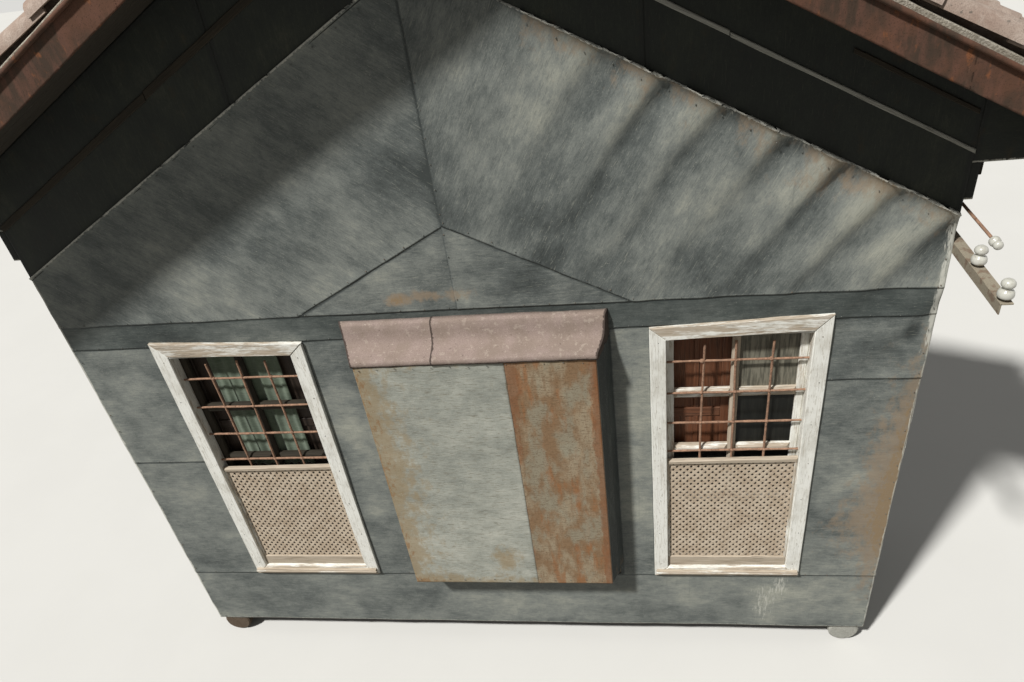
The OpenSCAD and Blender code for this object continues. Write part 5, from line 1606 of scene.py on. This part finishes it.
class BAY_OT_roof_timber(bpy.types.Operator):
    """Soffits, rafters, roof boards, eaves and the ridge beam"""
    bl_idname = "bay.roof_timber"
    bl_label = "Roof timber"

    def execute(self, context):
        bm = boards_mesh()
        lo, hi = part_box("ridge_beam")
        plank(bm, eased(rect(lo.x, lo.z, hi.x, hi.z), 0.006), lo.y, -0.001, THROUGH, wobble=0.002)
        boards_piece("ridge_beam_timber", bm, "rough_timber", ["ridge_beam"])
        for name, side in SIDES.items():
            reach = EAVES_X - side * RIDGE_X
            # soffit: three boards along the slope, near-black as painted shade under the roof
            bm = boards_mesh()
            outline = slope_outline(side, RIDGE_HALF, reach - 0.020, SOFFIT_RISE, RAFTER_RISE)
            for y0, y1 in strips_between(VERGE_Y, WALL_Y, 0.148):
                wear = 0.5 + 0.4 * wave(y0, side, 0.2, 4.0)
                plank(bm, outline, y0 + 0.001, y1 - 0.001, fall(side), wear=wear)
            boards_piece(name + "_soffit_boards", bm, "dark_boards", [name + "_verge_soffit"])
            # rafters: the first at the verge, the last at the wall that the bay is cut off at
            bm = boards_mesh()
            outline = slope_outline(side, RIDGE_HALF, reach - 0.020, RAFTER_RISE, BOARDS_RISE)
            thick = 0.055
            for i in range(4):
                y0 = VERGE_Y + (-VERGE_Y - thick) * i / 3
                plank(bm, outline, y0, y0 + thick, fall(side), ease=0.006, wobble=0.003)
            boards_piece(name + "_rafter_timber", bm, "rough_timber", [name + "_rafters"])
            # roof boards across the rafters
            bm = boards_mesh()
            for d0, d1 in strips_between(0.0, reach, 0.165):
                outline = slope_outline(side, d0 + 0.001, d1 - 0.001, BOARDS_RISE, TILES_RISE)
                wear = 0.5 + 0.45 * wave(d0, side, 0.2, 6.0)
                plank(bm, eased(outline, 0.003), VERGE_Y, -0.001, THROUGH, wear=wear)
            boards_piece(name + "_roof_planks", bm, "floor_wood", [name + "_roof_boards"])
            self.eaves(name, side)
        return {"FINISHED"}

    def eaves(self, name, side):
        """Stepped moulding, flat soffit and eaves board of one side."""
        bm = boards_mesh()
        top = MOULD_Z + 0.105
        width = (EAVES_X - 0.020 - SIDE_X) / 3
        # distance out and height of two corners of each step and each soffit board, and its wear
        parts = [(SIDE_X, MOULD_Z, HALF_W + 0.020, top, 0.4),
                 (HALF_W + 0.020, MOULD_Z + 0.020, HALF_W + 0.036, top, 0.6),
                 (SIDE_X, top, HALF_W + 0.054, SOFFIT_Z, 0.5)]
        parts += [(SIDE_X + width * k + 0.001, SOFFIT_Z, SIDE_X + width * (k + 1) - 0.001, SOFFIT_Z + 0.020,
                   0.5 + 0.2 * k) for k in range(3)]
        for x0, z0, x1, z1, wear in parts:
            plank(bm, eased(rect(side * x0, z0, side * x1, z1), 0.003), WALL_Y, -0.001, THROUGH, wear=wear)
        outline = under_slope(side * EAVES_X, side * (EAVES_X - 0.020), SOFFIT_Z, BOARDS_RISE)
        plank(bm, eased(outline, 0.003), VERGE_Y, -0.001, THROUGH, wear=0.6)
        boards_piece(name + "_eaves_boards", bm, "dark_boards", [name + "_eaves"])


class BAY_OT_frieze(bpy.types.Operator):
    """Dark stained sheet between the gable and the roof, made near-black as painted shade, with its ledges"""
    bl_idname = "bay.frieze"
    bl_label = "Frieze"

    def execute(self, context):
        y = low("gable_frieze").y + 0.012
        plane = at_depth(y)
        cell = 0.035

        def lift(u, v):
            return max(0.0, 0.0015 + 0.0025 * wave(u, v, 0.35, 91.0) + 0.0012 * wave(u, v, 0.1, 93.0))

        def frieze_runs(u, v):
            run = wave(u * 6, v * 0.7, 0.5, 95.0)
            return 0.32 * max(0.0, run) + 0.12, 0.12 * max(0.0, -run), 0.1, 0.0

        clad = Cladding()
        for side in (-1, 1):
            for d0, d1 in ((0.0, 0.91), (0.91, HALF_W - side * RIDGE_X)):
                outline = slope_outline(side, d0, d1, -0.02, SOFFIT_RISE)
                clad.sheet(outline, plane, lift, (), (), frieze_runs, step=cell, turn=90)
            edge = side * HALF_W
            for outline in (under_slope(edge, side * EAVES_X, SOFFIT_Z, SOFFIT_RISE),
                            rect(edge, MOULD_Z, side * (HALF_W + 0.036), SOFFIT_Z + 0.002)):
                clad.sheet(outline, plane, lift, (), (0,), frieze_runs, step=cell)
        clad.piece("frieze_sheets", "frieze", ["gable_frieze"], 0.003)
        # ledge across the frieze, with a short second one near the right end
        # the right ledge is pale wood as painted light, where it catches the light; the left ledge and the
        # short one are near-black as painted shade
        pale = boards_mesh()
        dark = boards_mesh()
        for side, bm, wide in ((-1, dark, 0.04), (1, pale, 0.021)):
            reach = HALF_W - side * RIDGE_X
            joint = reach * 0.55
            for outline, wear in ((slope_outline(side, 0.0, joint, 0.275, 0.275 + wide), 0.2),
                                  (slope_outline(side, joint + 0.003, reach, 0.272, 0.270 + wide), 0.3)):
                plank(bm, outline, y - 0.012, y + 0.001, fall(side), wobble=0.003, wear=wear)
        outline = slope_outline(1, 1.72, 2.24, 0.43, 0.452)
        plank(dark, outline, y - 0.010, y + 0.001, fall(1), wobble=0.003, wear=0.3)
        boards_piece("frieze_ledge_right", pale, "bleached_log", ())
        boards_piece("frieze_ledges", dark, "dark_boards")
        return {"FINISHED"}


class BAY_OT_fascia(bpy.types.Operator):
    """Rusty sheets along the verge with a rolled top edge"""
    bl_idname = "bay.fascia"
    bl_label = "Fascia"

    def execute(self, context):
        tree, start = new_tree("rolled edge", {"Radius": 0.01})
        end_tree(tree, tube(tree, start, 10, 0.05), "verge")
        for name, side in SIDES.items():
            reach = EAVES_X - side * RIDGE_X

            def lift(u, v):
                return max(0.0004, 0.0025 + 0.0035 * wave(u, v, 0.3, 101.0) + 0.001 * wave(u, v, 0.08, 103.0))

            def worn(u, v):
                end = smooth(reach - 0.30, reach - 0.28, abs(u - RIDGE_X)) * (0.9 if side < 0 else 0.2)
                return 0.0, max(end, 0.35 * smooth(0.125, 0.15, v - rake(u, FASCIA_RISE))), 0.0, 0.0

            clad = Cladding()
            d = 0.0
            while d < reach - 0.05:
                d1 = min(d + 1.0, reach)
                clad.sheet(slope_outline(side, max(0.0, d - 0.02), d1, FASCIA_RISE, FASCIA_TOP),
                           at_depth(VERGE_Y - 0.001), lift, (), (0,), worn, step=0.03)
                d = d1
            clad.piece(name + "_fascia_sheet", "verge", [name + "_fascia"], 0.0025)
            r = sizes().roll_r
            points = []
            for k in range(41):
                x = RIDGE_X + side * (reach - 0.012) * k / 40
                points.append((x, VERGE_Y - r - 0.001 + 0.002 * wave(x, 0, 0.25, 105.0),
                               rake(x, FASCIA_TOP) - 0.002 + 0.002 * wave(x, 0, 0.2, 107.0)))
            grown(name + "_fascia_roll", lines_mesh("roll", [points]), tree, {"Radius": r}, "rusty_sheet")
        return {"FINISHED"}


def one_tile(radius, long, taper, arch, thick=0.013, around=9):
    """A barrel tile along X with its wide end at 0: arch 1 is a cover tile, -1 a channel tile."""
    bm = bmesh.new()
    rows = []
    for t in (0.0, 0.5, 1.0):
        row = []
        for depth in (0.0, thick):
            r = radius * (1 - taper * t) - depth
            for k in range(around + 1):
                a = math.pi * (0.04 + 0.92 * k / around)
                height = arch * (r * math.sin(a) - radius * 0.12)
                row.append(bm.verts.new((long * t, r * math.cos(a), height)))
        rows.append(row)
    n = around + 1
    for a, b in zip(rows, rows[1:]):
        for k in range(around):
            bm.faces.new((a[k], a[k + 1], b[k + 1], b[k]))
            bm.faces.new((a[n + k + 1], a[n + k], b[n + k], b[n + k + 1]))
        bm.faces.new((a[n], a[0], b[0], b[n]))
        bm.faces.new((a[around], a[n + around], b[n + around], b[around]))
    for row in (rows[0], rows[-1]):
        for k in range(around):
            bm.faces.new((row[k], row[k + 1], row[n + k + 1], row[n + k]))
    return to_mesh("tile", bm, True)


def tile_tree():
    """Tiles in rows and courses: the input tile is set on a grid, a little askew, and turned to the slope."""
    tree, start = new_tree("tile courses", {
        "Rows": 8, "Row pitch": 0.192, "Courses": 9, "Course": 0.335, "Lean": 0.04, "Jitter": 0.006,
        "Seed": 0, "Start X": 0.0, "Start Y": 0.0, "Start Z": 0.0, "Turn Y": 0.0, "Turn Z": 0.0})
    down = add(tree, "ShaderNodeCombineXYZ", {"X": start["Course"]})
    sideways = add(tree, "ShaderNodeCombineXYZ", {"Y": start["Row pitch"]})
    course = add(tree, "GeometryNodeMeshLine", {"Count": start["Courses"], "Offset": down})
    rows = add(tree, "GeometryNodeMeshLine", {"Count": start["Rows"], "Offset": sideways})
    field = add(tree, "GeometryNodeInstanceOnPoints", {"Points": rows, "Instance": course})
    points = add(tree, "GeometryNodeRealizeInstances", {"Geometry": field})
    less = add(tree, "ShaderNodeMath", {0: start["Jitter"], 1: -1.0}, operation="MULTIPLY")
    shift = add(tree, "FunctionNodeRandomValue", {0: less, 1: start["Jitter"], "Seed": start["Seed"]},
                data_type="FLOAT_VECTOR")
    moved = add(tree, "GeometryNodeSetPosition", {"Geometry": points, "Offset": shift})
    wild = add(tree, "ShaderNodeMath", {0: start["Seed"], 1: 5.0}, operation="ADD")
    skew = add(tree, "FunctionNodeRandomValue", {
        0: (-0.05, -0.006, -0.035), 1: (0.05, 0.006, 0.035), "Seed": wild}, data_type="FLOAT_VECTOR")
    lean = add(tree, "ShaderNodeCombineXYZ", {"Y": start["Lean"]})
    turn = add(tree, "ShaderNodeVectorMath", {0: skew, 1: lean}, operation="ADD")
    tiles = add(tree, "GeometryNodeInstanceOnPoints", {
        "Points": moved, "Instance": start["Geometry"], "Rotation": turn})
    aim = add(tree, "ShaderNodeCombineXYZ", {"Y": start["Turn Y"], "Z": start["Turn Z"]})
    origin = add(tree, "ShaderNodeCombineXYZ", {
        "X": start["Start X"], "Y": start["Start Y"], "Z": start["Start Z"]})
    real = add(tree, "GeometryNodeRealizeInstances", {"Geometry": tiles})
    end_tree(tree, add(tree, "GeometryNodeTransform", {
        "Geometry": real, "Rotation": aim, "Translation": origin}), "clay_tile")
    return tree


class BAY_OT_tiles(bpy.types.Operator):
    """Clay tiles of the two slopes and the ridge"""
    bl_idname = "bay.tiles"
    bl_label = "Roof tiles"

    def execute(self, context):
        tree = tile_tree()
        self.slope(tree, "left", RIDGE_X - low("left_tiles").x)
        self.slope(tree, "right", high("right_tiles").x - RIDGE_X)
        self.ridge(tree)
        return {"FINISHED"}

    def slope(self, tree, name, reach):
        """Channel and cover tiles of one slope, and the mud bed under them."""
        size = sizes()
        side = SIDES[name]
        tile_y = low("right_tiles").y
        spare = -tile_y - 2 * size.tile_r
        rows = int(spare / size.tile_pitch) + 1
        first = tile_y + size.tile_r + (spare - (rows - 1) * size.tile_pitch) / 2
        along = reach / math.cos(PITCH)
        courses = int((along - 0.06) / size.tile_course)
        start_at = along - size.tile_l - (courses - 1) * size.tile_course
        # a tile's wide end lies down the slope, so the tile is made with it at the far end
        cover = one_tile(size.tile_r, size.tile_l, 0.16, 1)
        cover.transform(Matrix.Translation((size.tile_l, 0, 0)) @ Matrix.Rotation(math.pi, 4, "Z"))
        channel = one_tile(size.tile_r * 0.98, size.tile_l, -0.14, -1)
        for kind, mesh, count, y, up, seed, nodes in (
            ("channel", channel, rows - 1, first + size.tile_pitch / 2, 0.052, 0, ()),
            ("cover", cover, rows, first, 0.030, 1, (name + "_tiles",)),
        ):
            numbers = {
                "Rows": count, "Row pitch": size.tile_pitch, "Courses": courses, "Course": size.tile_course,
                "Lean": -math.atan2(0.012, size.tile_course),
                "Seed": size.seed + seed + (3 if side > 0 else 11),
                "Start X": RIDGE_X + side * (start_at * math.cos(PITCH) + up * math.sin(PITCH)), "Start Y": y,
                "Start Z": PEAK_Z + BED_RISE - start_at * math.sin(PITCH) + up * math.cos(PITCH) - 0.012,
                "Turn Y": PITCH, "Turn Z": 0.0}
            if side < 0:
                # turned half round, so the rows run the other way
                numbers.update({"Start Y": y + (count - 1) * size.tile_pitch, "Turn Z": math.pi})
            grown(f"{name}_{kind}_tiles", mesh, tree, numbers, "clay_tile", nodes)
        bm = boards_mesh()
        outline = slope_outline(side, 0.0, reach - 0.045, TILES_RISE, BED_RISE)
        plank(bm, outline, tile_y + 0.02, -0.001, fall(side), ease=0.004, wobble=0.004)
        boards_piece(name + "_tile_bed", bm, "mortar", ())

    def ridge(self, tree):
        """Wide tiles over the ridge, on mortar."""
        lo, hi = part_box("ridge_tiles")
        count = 4
        pitch = (hi.y - lo.y) / count
        radius = (hi.x - lo.x) / 2
        tile = one_tile(radius * 0.98, pitch + 0.02, 0.08, 1, 0.014, 14)
        numbers = {
            "Rows": 1, "Courses": count, "Course": pitch, "Lean": 0.02, "Jitter": 0.003,
            "Seed": sizes().seed + 21, "Start X": RIDGE_X, "Start Y": lo.y, "Start Z": hi.z - radius * 0.90,
            "Turn Z": math.pi / 2}
        grown("ridge_tiles_laid", tile, tree, numbers, "clay_tile", ["ridge_tiles"])
        bm = bmesh.new()
        section = [(-0.128, -0.062), (-0.112, -0.018), (-0.05, 0.03), (0.05, 0.03), (0.112, -0.018),
                   (0.128, -0.062)]
        steps = 60
        rings = []
        for k in range(steps + 1):
            y = lo.y + 0.006 + (hi.y - lo.y - 0.012) * k / steps
            ring = []
            for x, z in section:
                bump = 0.010 * wave(y * 3, x * 3, 0.25, 111.0)
                height = PEAK_Z + BED_RISE + z + 0.004 + bump
                ring.append(bm.verts.new((RIDGE_X + x * (1 + bump * 4), y, height)))
            rings.append(ring)
        skin(bm, rings, len(section))
        bm.faces.new(rings[0])
        bm.faces.new(rings[-1][::-1])
        mesh = to_mesh("ridge_mortar", bm, True)
        place_piece("ridge_mortar", mesh, "mortar", smooth_under=70.0)


def lathe(bm, profile, centre, lying=False, around=28):
    """Adds a turned shape from (radius, height) pairs, closed at both poles, upright or lying along Y."""
    turn = Matrix.Translation(centre) @ Matrix.Rotation(math.radians(90 if lying else 0), 4, "X")
    rings = []
    for r, h in profile:
        angles = [2 * math.pi * k / around for k in range(around if r else 1)]
        rings.append([bm.verts.new(turn @ Vector((r * math.cos(a), r * math.sin(a), h))) for a in angles])
    for a, b in zip(rings, rings[1:]):
        for k in range(around):
            j = (k + 1) % around
            # a pole gives the same corner twice
            corners = (a[k % len(a)], a[j % len(a)], b[j % len(b)], b[k % len(b)])
            bm.faces.new(list(dict.fromkeys(corners)))


class BAY_OT_bracket(bpy.types.Operator):
    """Angle-iron bracket with its porcelain insulators"""
    bl_idname = "bay.bracket"
    bl_label = "Insulator bracket"

    def execute(self, context):
        lo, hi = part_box("insulator_bracket")
        arm_z = hi.z - 0.170
        x0 = lo.x
        bm = boards_mesh()
        # the two flanges of the angle iron, then its bolts
        wide, thick, ease = 0.050, 0.006, 0.0012
        upright = rect(lo.y, arm_z - wide, hi.y, arm_z)
        plank(bm, upright, x0, x0 + thick, place=flank, ease=ease, wobble=0.0015)
        plank(bm, rect(x0, arm_z - thick, x0 + wide, arm_z), lo.y, hi.y, THROUGH, ease=ease, wobble=0.0008)
        for y in (FRONT_Y + 0.065, FRONT_Y + 0.195):
            hexagon = []
            for i in range(6):
                a = math.radians(60 * i)
                hexagon.append((y + 0.010 * math.cos(a), arm_z - 0.028 + 0.010 * math.sin(a)))
            plank(bm, hexagon, x0 + thick, x0 + 0.014, place=flank, ease=ease, wobble=0.0)
        boards_piece("bracket_arm", bm, "dusty_iron", ["insulator_bracket"])
        # upper rod with its bend
        rod_x = x0 + 0.025
        rod_y = FRONT_Y + 0.080
        rod_top = arm_z + 0.163
        rod_r = 0.007
        bend = 0.03
        tree, start = new_tree("bent rod", {"Radius": rod_r})
        end_tree(tree, tube(tree, start, 12), "rusty_iron")
        line = [(rod_y, arm_z - 0.004), (rod_y, arm_z + 0.07), (rod_y, rod_top - bend)]
        for k in range(1, 6):
            a = math.pi / 2 * k / 5
            line.append((rod_y - bend * (1 - math.cos(a)), rod_top - bend + bend * math.sin(a)))
        line += [(-1.15, rod_top), (-1.25, rod_top), (-1.393, rod_top)]
        rod = lines_mesh("rod", [[(rod_x, y, z) for y, z in line]])
        grown("bracket_rod", rod, tree, {"Radius": rod_r}, "rusty_iron", smooth_under=60.0)
        # an insulator from its foot to its crown, in shares of its radius and its height
        bell = [(0, 0.0), (0.5, 0.0), (0.78, 0.01), (0.92, 0.05), (1.0, 0.13), (1.0, 0.22), (0.94, 0.34),
                (0.8, 0.41), (0.62, 0.45), (0.56, 0.5), (0.56, 0.56), (0.62, 0.6), (0.78, 0.64), (0.85, 0.7),
                (0.85, 0.78), (0.78, 0.86), (0.62, 0.94), (0.4, 0.99), (0.2, 1.0), (0, 1.0)]
        r, h = 0.032, 0.084
        bm = bmesh.new()
        for y in (FRONT_Y - 0.489, FRONT_Y - 0.218):
            lathe(bm, [(r * a, h * b) for a, b in bell], (rod_x, y, arm_z + 0.012))
            lathe(bm, [(0, 0), (rod_r, 0), (rod_r, 0.013), (0, 0.013)], (rod_x, y, arm_z - 0.0005), around=14)
        small = [(r * 0.72 * a, h * 0.72 * b) for a, b in bell]
        lathe(bm, small, (rod_x, FRONT_Y - 0.293, rod_top), True)
        mesh = to_mesh("insulators_glazed", bm, True)
        place_piece("insulators_glazed", mesh, "porcelain", ["insulators"], smooth_under=50.0)
        return {"FINISHED"}


class BAY_OT_stage(bpy.types.Operator):
    """Finishes of the CAD nodes that still show, floor, light and camera"""
    bl_idname = "bay.stage"
    bl_label = "Stage"

    def execute(self, context):
        slots = {part["node"]: part["material_slot"] for part in frame["record"]["subparts"]}
        for name, node in frame["nodes"].items():
            if not node.hide_render:
                node.data.materials.clear()
                node.data.materials.append(finish(slots[name]))
        bm = bmesh.new()
        bmesh.ops.create_grid(bm, x_segments=1, y_segments=1, size=30,
                              matrix=Matrix.Translation((0, 0, GROUND_Z - 0.002)))
        mesh = to_mesh("floor", bm)
        mesh.materials.append(finish("floor"))
        floor = bpy.data.objects.new("floor", mesh)
        bpy.context.scene.collection.objects.link(floor)
        self.light()
        self.camera()
        context.scene.view_settings.view_transform = "Standard"
        return {"FINISHED"}

    def light(self):
        """A soft high light from the upper left front, and an even pale surround."""
        data = bpy.data.lights.new("high_light", "SUN")
        data.energy = 5.1
        data.angle = math.radians(4)
        lamp = bpy.data.objects.new("high_light", data)
        lamp.rotation_mode = "QUATERNION"
        lamp.rotation_quaternion = Vector((0.88, 1.0, -1.88)).to_track_quat("-Z", "Y")
        bpy.context.scene.collection.objects.link(lamp)
        world = bpy.data.worlds.new("surround")
        world.use_nodes = True
        tree = world.node_tree
        tree.nodes.clear()
        # the surround is brighter where it is seen, through glass and in reflections too, than as a light
        ray = add(tree, "ShaderNodeLightPath").outputs
        seen = add(tree, "ShaderNodeMath", {0: ray["Is Camera Ray"], 1: ray["Is Transmission Ray"]},
                   operation="MAXIMUM")
        shine = add(tree, "ShaderNodeMath", {0: seen, 1: ray["Is Glossy Ray"]}, operation="MAXIMUM")
        around = add(tree, "ShaderNodeBackground", {"Color": "#f4f5f6", "Strength": 0.26})
        shown = add(tree, "ShaderNodeBackground", {"Color": "#dcdbd7", "Strength": 1.0})
        mix = add(tree, "ShaderNodeMixShader", {0: shine, 1: around, 2: shown})
        add(tree, "ShaderNodeOutputWorld", {"Surface": mix})
        bpy.context.scene.world = world

    def camera(self):
        """The photograph's view, from above and to the right of the middle."""
        right = (0.9874058, 0.1005555, -0.1221408)
        down = (-0.0411329, -0.5823098, -0.8119257)
        ahead = (-0.1527674, 0.8067242, -0.5708399)
        data = bpy.data.cameras.new("street_view")
        data.sensor_width = 36.0
        data.lens = 26.876
        cam = bpy.data.objects.new("street_view", data)
        turn = Matrix((right, [-c for c in down], [-c for c in ahead])).transposed()
        cam.matrix_world = Matrix.Translation((0.8480, -4.3384, 4.7345)) @ turn.to_4x4()
        bpy.context.scene.collection.objects.link(cam)
        bpy.context.scene.camera = cam


OPERATORS = (
    BAY_OT_front_sheets, BAY_OT_side_sheets, BAY_OT_nails, BAY_OT_box, BAY_OT_walls, BAY_OT_logs,
    BAY_OT_windows, BAY_OT_bars, BAY_OT_curtain, BAY_OT_roof_timber, BAY_OT_frieze, BAY_OT_fascia,
    BAY_OT_tiles, BAY_OT_bracket, BAY_OT_stage,
)


class BAY_PT_panel(bpy.types.Panel):
    """Steps that dress the bay, with its sizes and colours"""
    bl_idname = "BAY_PT_panel"
    bl_label = "Mashrabiya bay"
    bl_space_type = "VIEW_3D"
    bl_region_type = "UI"
    bl_category = "Bay"

    def draw(self, context):
        for operator in OPERATORS:
            self.layout.operator(operator.bl_idname)
        for group in (context.scene.bay_sizes, context.scene.bay_colours):
            for name in group.bl_rna.properties.keys():
                if name not in ("rna_type", "name"):
                    self.layout.prop(group, name)


CLASSES = (BaySizes, BayColours) + OPERATORS + (BAY_PT_panel,)


def register():
    for item in CLASSES:
        bpy.utils.register_class(item)
    bpy.types.Scene.bay_sizes = PointerProperty(type=BaySizes)
    bpy.types.Scene.bay_colours = PointerProperty(type=BayColours)


def unregister():
    del bpy.types.Scene.bay_colours
    del bpy.types.Scene.bay_sizes
    for item in reversed(CLASSES):
        bpy.utils.unregister_class(item)


def main():
    """Registers the classes and runs every step in order."""
    register()
    for operator in OPERATORS:
        group, step = operator.bl_idname.split(".")
        getattr(getattr(bpy.ops, group), step)()


if __name__ == "__main__":
    main()
